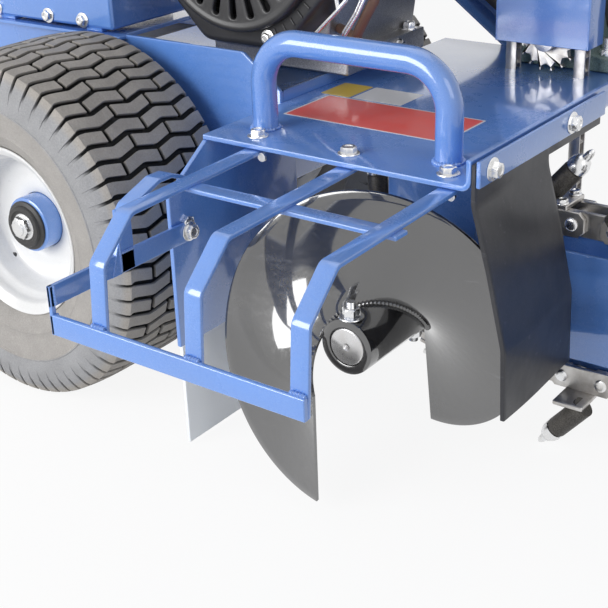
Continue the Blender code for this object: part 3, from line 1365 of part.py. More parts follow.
def build_controls():
    """Handlebar with its grips, the console between its legs and three levers."""
    half = CENTRE_Y - (CHASSIS_SIDE + CHASSIS_THICK + GAP + BAR_RADIUS)
    right = CENTRE_Y - half
    left = CENTRE_Y + half
    foot_x, foot_z = BAR_FOOT
    knee_x, knee_z = BAR_KNEE
    sides = []
    for y in (right, left):
        sides.append([(foot_x, y, foot_z), (foot_x, y, CHASSIS_TOP + 0.010), (knee_x, y, knee_z),
                      (BAR_END_X - 0.060, y, BAR_END_Z)])
    route = sides[0] + sides[1][::-1]
    radii = [0.0, 0.060, BAR_BEND, 0.055, 0.055, BAR_BEND, 0.060, 0.0]
    bar = tube(route, BAR_RADIUS, radii, 2, 3)
    part("handlebar", bar, blue_paint())
    grip_x = BAR_END_X - 0.060
    for name, start, end in (("right_grip", right + 0.060, CENTRE_Y - 0.012),
                             ("left_grip", CENTRE_Y + 0.012, left - 0.060)):
        middle = (start + end) / 2
        grip = washer((grip_x, middle, BAR_END_Z), "Y", BAR_RADIUS + 0.005, BAR_RADIUS + FIT, end - start)
        part(name, grip, grip_rubber())

    edge = half - BAR_RADIUS - GAP
    panel_front = Vector((-0.880, 0.470))
    panel_back = Vector((-1.010, 0.525))
    outline = [(-0.885, 0.300), tuple(panel_front), tuple(panel_back), (-1.045, 0.500),
               (-0.965, 0.300)]
    box = plate(filleted(outline, [0.0, 0.012, 0.012, 0.012, 0.0], True, 2),
                CENTRE_Y - edge, CENTRE_Y + edge, "Y")
    wall = 0.003
    hollow = inset(outline, wall)
    hollow[0] = hollow[0] - Vector((0, 0.020))
    hollow[4] = hollow[4] - Vector((0, 0.020))
    room = plate(hollow, CENTRE_Y - edge + wall, CENTRE_Y + edge - wall, "Y")
    part("control_console", cut(box, [room]), blue_paint())

    way = (panel_back - panel_front).normalized()
    up = Vector((-way.y, way.x))
    if up.y < 0:
        up = -up
    ball = 0.012
    for name, y, share in (("clutch_lever", CENTRE_Y - 0.070, 0.5),
                           ("travel_lever", CENTRE_Y, 0.5),
                           ("throttle_lever", CENTRE_Y + 0.070, 0.5)):
        base = panel_front + (panel_back - panel_front) * share + up * (ball + GAP)
        point = Vector((base.x, y, base.y))
        tip = point + Vector((up.x, 0, up.y)) * 0.105
        knob = tip + Vector((up.x, 0, up.y)) * 0.030
        stem = rod(point, tip, 0.005, 8)
        root = turned([(0, ball), (ball * 0.7, ball * 0.7), (ball, 0), (ball * 0.7, -ball * 0.7),
                       (0, -ball)], "Y", point, 12)
        handle = rod(tip - Vector((up.x, 0, up.y)) * 0.004, knob, 0.013, 10, 0.011)
        joint(name + "_swing", point)
        part(name, fuse([root, stem, handle]), black_plastic(), name + "_swing")


def stand_on_ground():
    """Move the machine so that the middle of the bottom of its box is the origin."""
    bpy.context.view_layer.update()
    low = Vector((1e9, 1e9, 1e9))
    high = -low
    for piece in TRENCHER.objects:
        if piece.type != "MESH":
            continue
        for vertex in piece.data.vertices:
            spot = piece.matrix_world @ vertex.co
            low = Vector(map(min, low, spot))
            high = Vector(map(max, high, spot))
    ROOT.location = (-(low.x + high.x) / 2, -(low.y + high.y) / 2, -low.z)
    bpy.context.view_layer.update()


def build_machine():
    """Build every sub-part of the trencher."""
    build_deck()
    build_guard()
    build_side_plate()
    build_deck_handle()
    build_flap()
    build_headshaft()
    build_boom()
    build_digging_chain()
    build_hangers()
    build_jackshaft()
    build_roller_chain()
    build_jackshaft_cover()
    build_belt_drive()
    build_chassis()
    build_transaxle()
    build_wheels()
    build_casters()
    build_counterweight()
    build_engine()
    build_reservoir()
    build_controls()
    stand_on_ground()


build_machine()
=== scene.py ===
"""Looks of the walk-behind trencher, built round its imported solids.

Shapes are worked out with numpy in the digging deck's own frame: the origin is on the
deck's top face at its outer edge, X runs forward to the boom, Y across the machine and
Z up, all in metres. Each finished piece is moved to the row frame in its mesh.
"""

import json
import math

import bmesh
import bpy
import numpy as np
from mathutils import Matrix, Vector

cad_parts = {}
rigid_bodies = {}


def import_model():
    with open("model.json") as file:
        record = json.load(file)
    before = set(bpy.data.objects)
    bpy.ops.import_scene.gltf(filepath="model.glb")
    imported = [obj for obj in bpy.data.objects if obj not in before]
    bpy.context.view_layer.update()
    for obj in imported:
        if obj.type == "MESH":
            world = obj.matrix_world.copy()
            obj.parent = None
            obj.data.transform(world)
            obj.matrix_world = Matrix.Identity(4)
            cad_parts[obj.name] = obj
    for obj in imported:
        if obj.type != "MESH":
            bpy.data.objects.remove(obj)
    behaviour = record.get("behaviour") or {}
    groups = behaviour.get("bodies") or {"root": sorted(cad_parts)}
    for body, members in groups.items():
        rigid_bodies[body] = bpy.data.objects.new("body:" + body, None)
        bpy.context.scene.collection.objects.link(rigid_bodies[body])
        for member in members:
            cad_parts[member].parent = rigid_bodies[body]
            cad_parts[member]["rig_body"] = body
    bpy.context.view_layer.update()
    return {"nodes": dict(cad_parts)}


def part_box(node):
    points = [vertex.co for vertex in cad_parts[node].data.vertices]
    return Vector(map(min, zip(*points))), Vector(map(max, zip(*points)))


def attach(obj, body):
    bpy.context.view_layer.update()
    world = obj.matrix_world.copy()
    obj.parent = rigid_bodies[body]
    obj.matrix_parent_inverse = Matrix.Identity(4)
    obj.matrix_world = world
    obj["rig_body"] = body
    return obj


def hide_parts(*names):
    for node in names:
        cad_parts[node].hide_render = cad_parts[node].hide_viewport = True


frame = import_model()
NODES = frame["nodes"]

DECK_THICK = 0.006
DECK_BACK = 0.072
DECK_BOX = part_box("digging_deck")
ORIGIN = np.array((DECK_BOX[0].x + DECK_BACK, DECK_BOX[0].y, DECK_BOX[0].z + DECK_THICK))
TAU = 2 * math.pi
ALONG_X = np.array((1.0, 0, 0))
ALONG_Y = np.array((0, 1.0, 0))
ALONG_Z = np.array((0, 0, 1.0))
ROOT = "machine_frame"

MITRE_LIMIT = 0.3
INSET_LIMIT = 0.35
MERGE_DISTANCE = 2e-6
CAD_MERGE_DISTANCE = 1e-5
FLAT_ANGLE = math.radians(0.6)
BEVEL_ANGLE = math.radians(28)
FLANGE_HIGH = 0.0022
HEAD_POINTS = 36
TUBE_HELPER = (0.31, 0.47, 0.83)
BEAD_POINTS = 10


def in_deck(node):
    """Lowest and highest corner of a CAD node, in the deck's frame."""
    low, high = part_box(node)
    return np.array(low) - ORIGIN, np.array(high) - ORIGIN


# Shapes


def grid(points, close_rows=False, close_cols=False):
    """Quads between the neighbours of a grid of points (rows, columns, 3)."""
    rows, cols = points.shape[:2]
    i = np.arange(rows if close_rows else rows - 1)
    j = np.arange(cols if close_cols else cols - 1)
    i, j = np.meshgrid(i, j, indexing="ij")
    down = (i + 1) % rows
    over = (j + 1) % cols
    quads = np.stack((i * cols + j, i * cols + over, down * cols + over, down * cols + j), -1)
    return points.reshape(-1, 3), quads.reshape(-1, 4)


def capped(points):
    """A closed section carried from row to row, with a flat face on each end."""
    spots, faces = grid(points, False, True)
    count = points.shape[1]
    last = len(spots) - count
    return spots, [tuple(f) for f in faces] + [tuple(range(count)), tuple(range(last, last + count))]


def strip(loop):
    """A thin closed band, its ends closed across it: point k of one side meets point
    count - 1 - k, which lies behind it on the other."""
    spots, faces = grid(loop, False, True)
    faces = [tuple(f) for f in faces]
    count = loop.shape[1]
    for base in (0, len(spots) - count):
        faces += [(base + k, base + k + 1, base + count - 2 - k, base + count - 1 - k)
                  for k in range(count // 2 - 1)]
    return spots, faces


def unit(vectors):
    """Vectors divided by their lengths."""
    vectors = np.asarray(vectors, float)
    return vectors / np.linalg.norm(vectors, axis=-1, keepdims=True)


def laid(first, second, place, axis):
    """Flat points (first, second) at a place along an axis, in the order X, Y, Z."""
    order = {"X": (place, first, second), "Y": (first, place, second), "Z": (first, second, place)}
    return np.stack(order[axis], -1)


def joined(shapes):
    """Several shapes as one list of points and faces."""
    points = []
    faces = []
    start = 0
    for spots, quads in shapes:
        points.append(np.asarray(spots, float))
        faces.extend([tuple(int(i) + start for i in face) for face in quads])
        start += len(spots)
    return np.concatenate(points), faces


def filleted(path, radius, steps=6):
    """A path whose inner corners are arcs: each corner is replaced by points on the circle
    that touches both of its sides, worked out by turning between the two touch points."""
    path = [np.array(p, float) for p in path]
    radii = radius if isinstance(radius, (list, tuple)) else [radius] * len(path)
    out = [path[0]]
    for i in range(1, len(path) - 1):
        back = path[i - 1] - path[i]
        ahead = path[i + 1] - path[i]
        back_length = np.linalg.norm(back)
        ahead_length = np.linalg.norm(ahead)
        back = back / back_length
        ahead = ahead / ahead_length
        half = math.acos(np.clip(back @ ahead, -1, 1)) / 2
        if radii[i] <= 0 or half > 1.55:
            out.append(path[i])
            continue
        reach = min(radii[i] / math.tan(half), 0.49 * back_length, 0.49 * ahead_length)
        bend = reach * math.tan(half)
        middle = (back + ahead) / np.linalg.norm(back + ahead)
        centre = path[i] + middle * bend / math.sin(half)
        first = path[i] + back * reach - centre
        last = path[i] + ahead * reach - centre
        share = math.pi - 2 * half
        for t in np.linspace(0, 1, steps + 1):
            out.append(centre + (first * math.sin((1 - t) * share) + last * math.sin(t * share))
                       / math.sin(share))
    out.append(path[-1])
    return np.array(out)


def carried(section, path, side, edge=0.0):
    """A flat section (a, b) carried along a path: point = path + a side + b (side x way),
    where way is the path's direction, mitred at its corners: b grows by 1 / cos(half the
    bend). Both ends are capped, and an edge chamfers them."""
    path = np.asarray(path, float)
    section = np.asarray(section, float)
    if edge:
        near = path[0] + unit(path[1] - path[0]) * edge
        far = path[-1] + unit(path[-2] - path[-1]) * edge
        path = np.concatenate((path[:1], [near], path[1:-1], [far], path[-1:]))
    step = np.diff(path, axis=0)
    step = unit(np.concatenate((step, step[-1:])))
    before = np.roll(step, 1, 0)
    before[0] = step[0]
    step[-1] = before[-1]
    way = unit(step + before)
    stretch = 1 / np.clip(np.sum(way * step, 1), MITRE_LIMIT, 1)
    across = unit(np.cross(side, way))
    points = (path[:, None] + section[None, :, :1] * side
              + section[None, :, 1:] * (across * stretch[:, None])[:, None])
    if edge:
        small = inset_ring(section, edge)
        for end in (0, -1):
            points[end] = path[end] + small[:, :1] * side + small[:, 1:] * across[end]
    return capped(points)


def rounded_section(width, thick, edge, steps=3):
    """A rectangle width by thick whose corners are quarter circles of radius edge."""
    angles = np.linspace(0, math.pi / 2, steps + 1)
    out = []
    for k, (x, y) in enumerate(((1, 1), (-1, 1), (-1, -1), (1, -1))):
        turn = angles + k * math.pi / 2
        out.append(np.stack((x * (width / 2 - edge) + edge * np.cos(turn),
                             y * (thick / 2 - edge) + edge * np.sin(turn)), -1))
    return np.concatenate(out)


def arc(radius, angles, middle=0.0):
    """Flat points on a circle of a radius whose middle lies on the first axis."""
    return np.stack((middle + radius * np.cos(angles), radius * np.sin(angles)), -1)


def ring_section(radius, count):
    """A whole circle of evenly spread points."""
    return arc(radius, np.arange(count) * TAU / count)


def spoke(angle):
    """The direction at an angle in the upright plane that holds X and Z."""
    return np.array((math.cos(angle), 0, math.sin(angle)))


def turned(profile, centre, axis="Y", steps=64, closed=False, start=0.0):
    """A profile of (radius, place) carried round an axis: point = centre + radius (cos u,
    sin u) + place along the axis. A closed profile is a ring, an open one ends on the axis."""
    profile = np.asarray(profile, float)
    angles = start + np.arange(steps) * TAU / steps
    radius = profile[:, :1]
    place = np.broadcast_to(profile[:, 1:], (len(profile), steps))
    points = laid(radius * np.cos(angles), radius * np.sin(angles), place, axis)
    return grid(points + np.asarray(centre, float), closed, True)


def inset_ring(ring, edge):
    """A ring of flat points moved inwards by edge along the mean of its side normals."""
    ring = np.asarray(ring, float)
    ahead = unit(np.roll(ring, -1, 0) - ring)
    both = ahead + np.roll(ahead, 1, 0)
    normal = unit(np.stack((-both[:, 1], both[:, 0]), -1))
    area = np.sum(ring[:, 0] * np.roll(ring[:, 1], -1) - np.roll(ring[:, 0], -1) * ring[:, 1])
    share = np.clip(normal[:, 1] * ahead[:, 0] - normal[:, 0] * ahead[:, 1], INSET_LIMIT, 1)
    return ring + normal * (math.copysign(edge, area) / share)[:, None]


def slab(ring, low, high, axis, edge=0.0006):
    """A flat outline given thickness along an axis, with its rims chamfered by edge."""
    ring = np.asarray(ring, float)
    small = inset_ring(ring, edge)
    levels = ((small, low), (ring, low + edge), (ring, high - edge), (small, high))
    return capped(np.stack([laid(flat[:, 0], flat[:, 1], np.full(len(ring), place), axis)
                            for flat, place in levels]))


def rounded_ring(low, high, radius, steps=5):
    """A rectangle between two flat corners, with round corners."""
    middle = (np.array(low, float) + np.array(high, float)) / 2
    size = np.array(high, float) - np.array(low, float)
    return middle + rounded_section(size[0], size[1], radius, steps)


def frame_along(way):
    """A direction's unit vector and two more that are square to it."""
    way = unit(way)
    helper = (0, 0, 1.0) if abs(way[2]) < 0.9 else (1.0, 0, 0)
    first = unit(np.cross(helper, way))
    return way, first, np.cross(way, first)


def stacked(outlines, start, way, turn=0.0):
    """Rings of (radius, height) about a direction, where radius may change with the angle u:
    point = start + radius(u) (cos u, sin u) + height way. Both ends close on the axis."""
    way, first, second = frame_along(way)
    count = len(outlines[0][0])
    angles = turn + np.arange(count) * TAU / count
    round_it = np.cos(angles)[:, None] * first + np.sin(angles)[:, None] * second
    radius = np.array([r for r, _ in outlines])
    height = np.array([h for _, h in outlines])
    radius = np.concatenate((0 * radius[:1], radius, 0 * radius[-1:]))
    height = np.concatenate((height[:1], height, height[-1:]))
    points = (np.asarray(start) + way * height[:, None])[:, None] + round_it * radius[..., None]
    return grid(points, False, True)


def even_rows(profile, count):
    """A profile of (radius, height) as round rings for stacked."""
    return [(np.full(count, radius), height) for radius, height in profile]


def hexagon_radius(across):
    """Distance from the middle to a hexagon's edge, by angle: half across / cos(angle from
    the nearest flat)."""
    angles = np.arange(HEAD_POINTS) * TAU / HEAD_POINTS
    return across / 2 / np.cos((angles + math.pi / 6) % (math.pi / 3) - math.pi / 6)


def bolt(place, way, across=0.016, height=0.0072, flange=0.0, turn=0.0):
    """A hexagon head on a face: optional round flange, chamfered hexagon, dished top."""
    hexagon = hexagon_radius(across)
    disc = np.full(HEAD_POINTS, across * 0.475)
    rows = []
    foot = 0.0
    if flange:
        wide = np.full(HEAD_POINTS, flange)
        foot = FLANGE_HIGH
        rows += [(wide * 0.97, 0.0), (wide, 0.0006), (wide * 0.97, 0.0014), (hexagon * 1.02, foot)]
    rows += [(hexagon, foot), (hexagon, height * 0.86),
             (np.minimum(hexagon, disc * 1.03), height * 0.96), (disc * 0.94, height),
             (disc * 0.62, height), (disc * 0.55, height - 0.0008)]
    return stacked(rows, place, way, turn)


def rod(start, end, radius, count=20, edge=0.0006):
    """A round rod with small chamfers at its ends."""
    length = float(np.linalg.norm(np.subtract(end, start)))
    profile = [(radius - edge, 0.0), (radius, edge), (radius, length - edge), (radius - edge, length)]
    return stacked(even_rows(profile, count), start, np.subtract(end, start))


def tube(path, radius, count=24):
    """A circle carried along a path in frames square to it: point = path + r (cos u first +
    sin u second). The radius is one value, or one for each point. Both ends are capped."""
    path = np.asarray(path, float)
    way = unit(np.gradient(path, axis=0))
    first = unit(np.cross(way, TUBE_HELPER))
    second = np.cross(way, first)
    size = np.broadcast_to(np.asarray(radius, float), (len(path),))
    circle = ring_section(1.0, count)
    points = path[:, None] + size[:, None, None] * (first[:, None] * circle[:, :1]
                                                    + second[:, None] * circle[:, 1:])
    return capped(points)


def bead(path, radius, ripple=0.12, pitch=0.0035):
    """A weld bead: a thin tube whose radius swells as 1 + ripple sin(length / pitch) and
    falls to its ends as the root of 1 - (twice the share from the middle)^8."""
    path = np.asarray(path, float)
    steps = np.linalg.norm(np.diff(path, axis=0), axis=1)
    length = np.concatenate(((0,), np.cumsum(steps)))
    places = np.linspace(0, length[-1], max(8, int(length[-1] / pitch * 5)))
    line = np.stack([np.interp(places, length, path[:, k]) for k in range(3)], -1)
    ends = np.sqrt(np.clip(1.02 - (2 * places / length[-1] - 1) ** 8, 0, 1))
    return tube(line, radius * ends * (1 + ripple * np.sin(places / pitch * TAU)), BEAD_POINTS)


# Finishes


def add(tree, kind, inputs=None, **settings):
    """A node with its settings, and with a value or a link on each named input."""
    made = tree.nodes.new(kind)
    for name, value in settings.items():
        setattr(made, name, value)
    for name, value in (inputs or {}).items():
        socket = made.inputs[name]
        if isinstance(value, bpy.types.NodeSocket):
            tree.links.new(value, socket)
        else:
            socket.default_value = value
    return made


def new_group(name, inputs, outputs):
    """A shader node group with named inputs (name, value) and outputs (name, type)."""
    tree = bpy.data.node_groups.new(name, "ShaderNodeTree")
    for title, value in inputs:
        socket = tree.interface.new_socket(title, in_out="INPUT", socket_type="NodeSocketFloat")
        socket.default_value = value
    for title, kind in outputs:
        tree.interface.new_socket(title, in_out="OUTPUT", socket_type=kind)
    return tree, tree.nodes.new("NodeGroupInput").outputs, tree.nodes.new("NodeGroupOutput").inputs


def noise(tree, scale, detail=2.0, roughness=0.5, vector=None):
    """Fractal noise on Object coordinates, or on another vector."""
    if vector is None:
        vector = add(tree, "ShaderNodeTexCoord").outputs["Object"]
    made = add(tree, "ShaderNodeTexNoise", {"Vector": vector, "Scale": scale, "Detail": detail,
                                            "Roughness": roughness})
    return made.outputs["Fac"]


def ramp(tree, value, low, high, dark=0.0, light=1.0):
    """A value carried linearly from low..high to dark..light, held at its ends."""
    made = add(tree, "ShaderNodeMapRange", {"Value": value, "From Min": low, "From Max": high,
                                            "To Min": dark, "To Max": light})
    return made.outputs["Result"]


def calc(tree, operation, first, second):
    """One step of arithmetic on two values."""
    made = tree.nodes.new("ShaderNodeMath")
    made.operation = operation
    for socket, value in zip(made.inputs, (first, second)):
        if isinstance(value, bpy.types.NodeSocket):
            tree.links.new(value, socket)
        else:
            socket.default_value = value
    return made.outputs["Value"]


def blended(tree, share, first, second):
    """Two colours mixed by a share."""
    made = tree.nodes.new("ShaderNodeMix")
    made.data_type = "RGBA"
    sockets = (made.inputs["Factor"], made.inputs[6], made.inputs[7])
    for socket, value in zip(sockets, (share, first, second)):
        if isinstance(value, bpy.types.NodeSocket):
            tree.links.new(value, socket)
        elif isinstance(value, (tuple, list)):
            socket.default_value = (*value[:3], 1.0)
        else:
            socket.default_value = value
    return made.outputs[2]


def bumped(tree, height, distance):
    """A normal from a height field."""
    return add(tree, "ShaderNodeBump", {"Height": height, "Distance": distance}).outputs["Normal"]


def orange_peel_group():
    """Sprayed paint: long low waves, and a fine sparkle of grains in the coat."""
    tree, given, out = new_group("orange_peel", (("Wave Scale", 260.0), ("Wave Height", 0.0002),
                                                 ("Sparkle Scale", 1500.0)),
                                 (("Normal", "NodeSocketVector"), ("Sparkle", "NodeSocketFloat"),
                                  ("Cloud", "NodeSocketFloat")))
    waves = noise(tree, given["Wave Scale"], 1.0)
    grains = noise(tree, given["Sparkle Scale"], 0.0)
    cloud = noise(tree, 9.0, 3.0)
    tree.links.new(bumped(tree, waves, given["Wave Height"]), out["Normal"])
    tree.links.new(ramp(tree, grains, 0.42, 0.72), out["Sparkle"])
    tree.links.new(ramp(tree, cloud, 0.35, 0.68), out["Cloud"])
    return tree


def dust_group():
    """Dust that settles on faces that look up and in slow patches: a mask from 0 to 1."""
    tree, given, out = new_group("settled_dust", (("Amount", 0.5), ("Patch Scale", 14.0)),
                                 (("Mask", "NodeSocketFloat"),))
    patches = noise(tree, given["Patch Scale"], 5.0, 0.62)
    specks = noise(tree, 420.0, 2.0, 0.7)
    normal = add(tree, "ShaderNodeNewGeometry").outputs["Normal"]
    upward = add(tree, "ShaderNodeSeparateXYZ", {"Vector": normal}).outputs["Z"]
    lying = ramp(tree, upward, -0.4, 1.0, 0.25, 1.0)
    spread = calc(tree, "ADD", ramp(tree, patches, 0.38, 0.66), ramp(tree, specks, 0.5, 0.7, 0, 0.6))
    tree.links.new(calc(tree, "MULTIPLY", calc(tree, "MULTIPLY", spread, lying), given["Amount"]),
                   out["Mask"])
    return tree


def machined_group():
    """Turned, drawn or plated metal: fine lines round Y or along X, and slow stains."""
    tree, given, out = new_group("machined_lines", (("Line Scale", 900.0), ("Line Height", 0.00002),
                                                    ("Stain Scale", 60.0)),
                                 (("Normal", "NodeSocketVector"), ("Stain", "NodeSocketFloat"),
                                  ("Line", "NodeSocketFloat")))
    coordinates = add(tree, "ShaderNodeTexCoord").outputs["Object"]
    stretched = add(tree, "ShaderNodeMapping", {"Vector": coordinates, "Scale": (0.05, 1.0, 0.05)})
    lines = noise(tree, given["Line Scale"], 2.0, 0.6, stretched.outputs["Vector"])
    stain = noise(tree, given["Stain Scale"], 4.0, 0.6)
    tree.links.new(bumped(tree, lines, given["Line Height"]), out["Normal"])
    tree.links.new(ramp(tree, stain, 0.35, 0.7), out["Stain"])
    tree.links.new(lines, out["Line"])
    return tree


def cast_group():
    """Sand cast skin: small pits and a slow unevenness."""
    tree, given, out = new_group("cast_skin", (("Pit Scale", 700.0), ("Pit Height", 0.00025)),
                                 (("Normal", "NodeSocketVector"), ("Pit", "NodeSocketFloat")))
    pits = noise(tree, given["Pit Scale"], 3.0, 0.65)
    slow = noise(tree, 55.0, 2.0)
    height = calc(tree, "ADD", pits, calc(tree, "MULTIPLY", slow, 1.6))
    tree.links.new(bumped(tree, height, given["Pit Height"]), out["Normal"])
    tree.links.new(ramp(tree, pits, 0.35, 0.68), out["Pit"])
    return tree


def scuff_group():
    """Fine scratches: two crossed, stretched and bent noises cut to thin lines."""
    tree, given, out = new_group("scuffs", (("Scratch Scale", 60.0), ("Amount", 0.4)),
                                 (("Mask", "NodeSocketFloat"),))
    coordinates = add(tree, "ShaderNodeTexCoord").outputs["Object"]
    lines = []
    for turn in (0.5, -0.9):
        mapped = add(tree, "ShaderNodeMapping", {
            "Vector": coordinates, "Rotation": (turn, turn * 0.7, turn), "Scale": (0.06, 1.0, 1.0)})
        drawn = noise(tree, given["Scratch Scale"], 4.0, 0.7, mapped.outputs["Vector"])
        lines.append(ramp(tree, drawn, 0.66, 0.70))
    both = calc(tree, "MAXIMUM", lines[0], lines[1])
    tree.links.new(calc(tree, "MULTIPLY", both, given["Amount"]), out["Mask"])
    return tree


PALE_DUST = (0.42, 0.40, 0.37)
BROWN_DUST = (0.34, 0.31, 0.27)
GREY_DUST = (0.30, 0.28, 0.26)

ORANGE_PEEL = orange_peel_group()
SETTLED_DUST = dust_group()
MACHINED = machined_group()
CAST_SKIN = cast_group()
SCUFFS = scuff_group()


def use(tree, group, **values):
    """A shared group placed in a material, with its own values: its named outputs."""
    made = tree.nodes.new("ShaderNodeGroup")
    made.node_tree = group
    for name, value in values.items():
        made.inputs[name.replace("_", " ")].default_value = value
    return made.outputs


def finish(name, **constants):
    """A Principled material: its node tree and its shader, with the constant sockets set."""
    made = bpy.data.materials.new(name)
    made.use_nodes = True
    shader = made.node_tree.nodes["Principled BSDF"]
    for socket, value in constants.items():
        shader.inputs[socket.replace("_", " ")].default_value = value
    return made, made.node_tree, shader


def fed(tree, shader, base, rough, normal):
    """Feed the shader's colour, roughness and normal."""
    for socket, value in (("Base Color", base), ("Roughness", rough), ("Normal", normal)):
        tree.links.new(value, shader.inputs[socket])


def lighter(colour, times, extra=0.0):
    """A colour times a factor, and up to white."""
    return tuple(min(1.0, part * times + extra) for part in colour)


def sprayed(name, colour, sparkle_colour, roughness, wave=0.00016, coat=0.5, dust=0.10):
    """Gloss powder coat: colour with sparkle, orange peel, light dust and few scuffs."""
    made, tree, shader = finish(name, Coat_Weight=coat, Coat_Roughness=0.08, Coat_IOR=1.7)
    peel = use(tree, ORANGE_PEEL, Wave_Height=wave)
    film = use(tree, SETTLED_DUST, Amount=dust, Patch_Scale=11.0)
    marks = use(tree, SCUFFS, Amount=0.16)
    base = blended(tree, ramp(tree, peel["Cloud"], 0, 1, 0, 0.30), colour, lighter(colour, 1.22))
    base = blended(tree, ramp(tree, peel["Sparkle"], 0, 1, 0, 0.22), base, sparkle_colour)
    base = blended(tree, marks["Mask"], base, sparkle_colour)
    base = blended(tree, film["Mask"], base, PALE_DUST)
    rough = calc(tree, "ADD", ramp(tree, peel["Cloud"], 0, 1, roughness, roughness + 0.08),
                 calc(tree, "MULTIPLY", film["Mask"], 0.5))
    fed(tree, shader, base, rough, peel["Normal"])
    return made


def plated(name, colour, roughness, stain_colour, line=0.000015, scale=900.0, stain=0.35):
    """Bright metal: fine turned lines, slow stains that dull and tint it."""
    made, tree, shader = finish(name, Metallic=1.0)
    lines = use(tree, MACHINED, Line_Scale=scale, Line_Height=line)
    marks = use(tree, SCUFFS, Amount=0.25, Scratch_Scale=90.0)
    base = blended(tree, ramp(tree, lines["Stain"], 0, 1, 0, stain), colour, stain_colour)
    base = blended(tree, marks["Mask"], base, lighter(colour, 1.3))
    rough = calc(tree, "ADD", ramp(tree, lines["Stain"], 0, 1, roughness, roughness + 0.16),
                 ramp(tree, lines["Line"], 0.3, 0.7, -0.04, 0.04))
    fed(tree, shader, base, rough, lines["Normal"])
    return made


def casting(name, colour, dark, roughness, metallic, pit=0.0003):
    """Sand casting, bare or painted: pitted skin, darker pits and a little dust."""
    made, tree, shader = finish(name)
    skin = use(tree, CAST_SKIN, Pit_Height=pit)
    film = use(tree, SETTLED_DUST, Amount=0.25, Patch_Scale=22.0)
    base = blended(tree, film["Mask"], blended(tree, skin["Pit"], dark, colour), BROWN_DUST)
    rough = ramp(tree, skin["Pit"], 0, 1, roughness + 0.14, roughness)
    fed(tree, shader, base, rough, skin["Normal"])
    bare = calc(tree, "MULTIPLY", ramp(tree, film["Mask"], 0, 1, 1, 0), metallic)
    tree.links.new(bare, shader.inputs["Metallic"])
    return made


def moulded(name, colour, roughness, grain=0.00008, scale=1300.0, dust=0.12, coat=0.0):
    """Moulded plastic or rubber: spark-eroded grain, slow gloss changes, a little dust."""
    made, tree, shader = finish(name, Specular_IOR_Level=0.5, Coat_Weight=coat, Coat_Roughness=0.2)
    skin = use(tree, CAST_SKIN, Pit_Scale=scale, Pit_Height=grain)
    film = use(tree, SETTLED_DUST, Amount=dust, Patch_Scale=18.0)
    marks = use(tree, SCUFFS, Amount=0.30)
    base = blended(tree, ramp(tree, skin["Pit"], 0, 1, 0.25, 0.0), colour, lighter(colour, 1.6))
    base = blended(tree, marks["Mask"], base, lighter(colour, 3.0, 0.02))
    base = blended(tree, film["Mask"], base, GREY_DUST)
    rough = calc(tree, "ADD", ramp(tree, skin["Pit"], 0, 1, roughness + 0.08, roughness),
                 calc(tree, "MULTIPLY", film["Mask"], 0.4))
    fed(tree, shader, base, rough, skin["Normal"])
    return made


def auger_paint():
    """Black gloss enamel over ground steel: low slow waves in the coat mottle its gloss."""
    made, tree, shader = finish("black_gloss_enamel", Coat_Weight=1.0, Coat_Roughness=0.05, Coat_IOR=2.1)
    peel = use(tree, ORANGE_PEEL, Wave_Scale=120.0, Wave_Height=0.00035, Sparkle_Scale=900.0)
    film = use(tree, SETTLED_DUST, Amount=0.10, Patch_Scale=8.0)
    marks = use(tree, SCUFFS, Amount=0.22, Scratch_Scale=45.0)
    base = blended(tree, peel["Cloud"], (0.006, 0.006, 0.007), (0.014, 0.014, 0.017))
    base = blended(tree, marks["Mask"], base, (0.16, 0.16, 0.17))
    base = blended(tree, film["Mask"], base, GREY_DUST)
    rough = calc(tree, "ADD", ramp(tree, peel["Cloud"], 0, 1, 0.10, 0.24), film["Mask"])
    fed(tree, shader, base, rough, peel["Normal"])
    return made


def tread_rubber():
    """Dusty tyre: the tread_depth attribute paints groove floors near black, bare rubber with
    painted shade in the grooves; block tops keep a dry film of brown dust, and the sidewall is
    washed with grey in rings."""
    made, tree, shader = finish("dusty_tyre_rubber", Specular_IOR_Level=0.35)
    depth = add(tree, "ShaderNodeAttribute", attribute_name="tread_depth").outputs["Fac"]
    ring = add(tree, "ShaderNodeAttribute", attribute_name="sidewall_tone").outputs["Fac"]
    skin = use(tree, CAST_SKIN, Pit_Scale=520.0, Pit_Height=0.0006)
    film = use(tree, SETTLED_DUST, Amount=1.0, Patch_Scale=30.0)
    dry = calc(tree, "MULTIPLY", ramp(tree, film["Mask"], 0, 1, 0.55, 1.0),
               ramp(tree, skin["Pit"], 0, 1, 0.7, 1.0))
    top = blended(tree, dry, (0.205, 0.192, 0.175), (0.470, 0.435, 0.395))
    side = blended(tree, dry, (0.150, 0.150, 0.154), (0.430, 0.430, 0.438))
    base = blended(tree, ring, top, side)
    # painted shade: groove floors go near black, darker than bare rubber, as if shade fell in the grooves
    base = blended(tree, ramp(tree, depth, 0.15, 0.6), base, (0.006, 0.006, 0.006))
    fed(tree, shader, base, ramp(tree, film["Mask"], 0, 1, 0.62, 0.92), skin["Normal"])
    return made


def flap_belting():
    """Smooth black belting: faint calender waves and fine scratches from the spoil."""
    made, tree, shader = finish("black_belting", Coat_Weight=0.25, Coat_Roughness=0.25)
    waves = use(tree, ORANGE_PEEL, Wave_Scale=45.0, Wave_Height=0.0006, Sparkle_Scale=700.0)
    marks = use(tree, SCUFFS, Amount=0.35, Scratch_Scale=70.0)
    film = use(tree, SETTLED_DUST, Amount=0.12, Patch_Scale=12.0)
    base = blended(tree, waves["Cloud"], (0.006, 0.007, 0.012), (0.012, 0.013, 0.020))
    base = blended(tree, marks["Mask"], base, (0.09, 0.09, 0.10))
    base = blended(tree, film["Mask"], base, (0.25, 0.24, 0.23))
    fed(tree, shader, base, ramp(tree, waves["Cloud"], 0, 1, 0.36, 0.48), waves["Normal"])
    return made


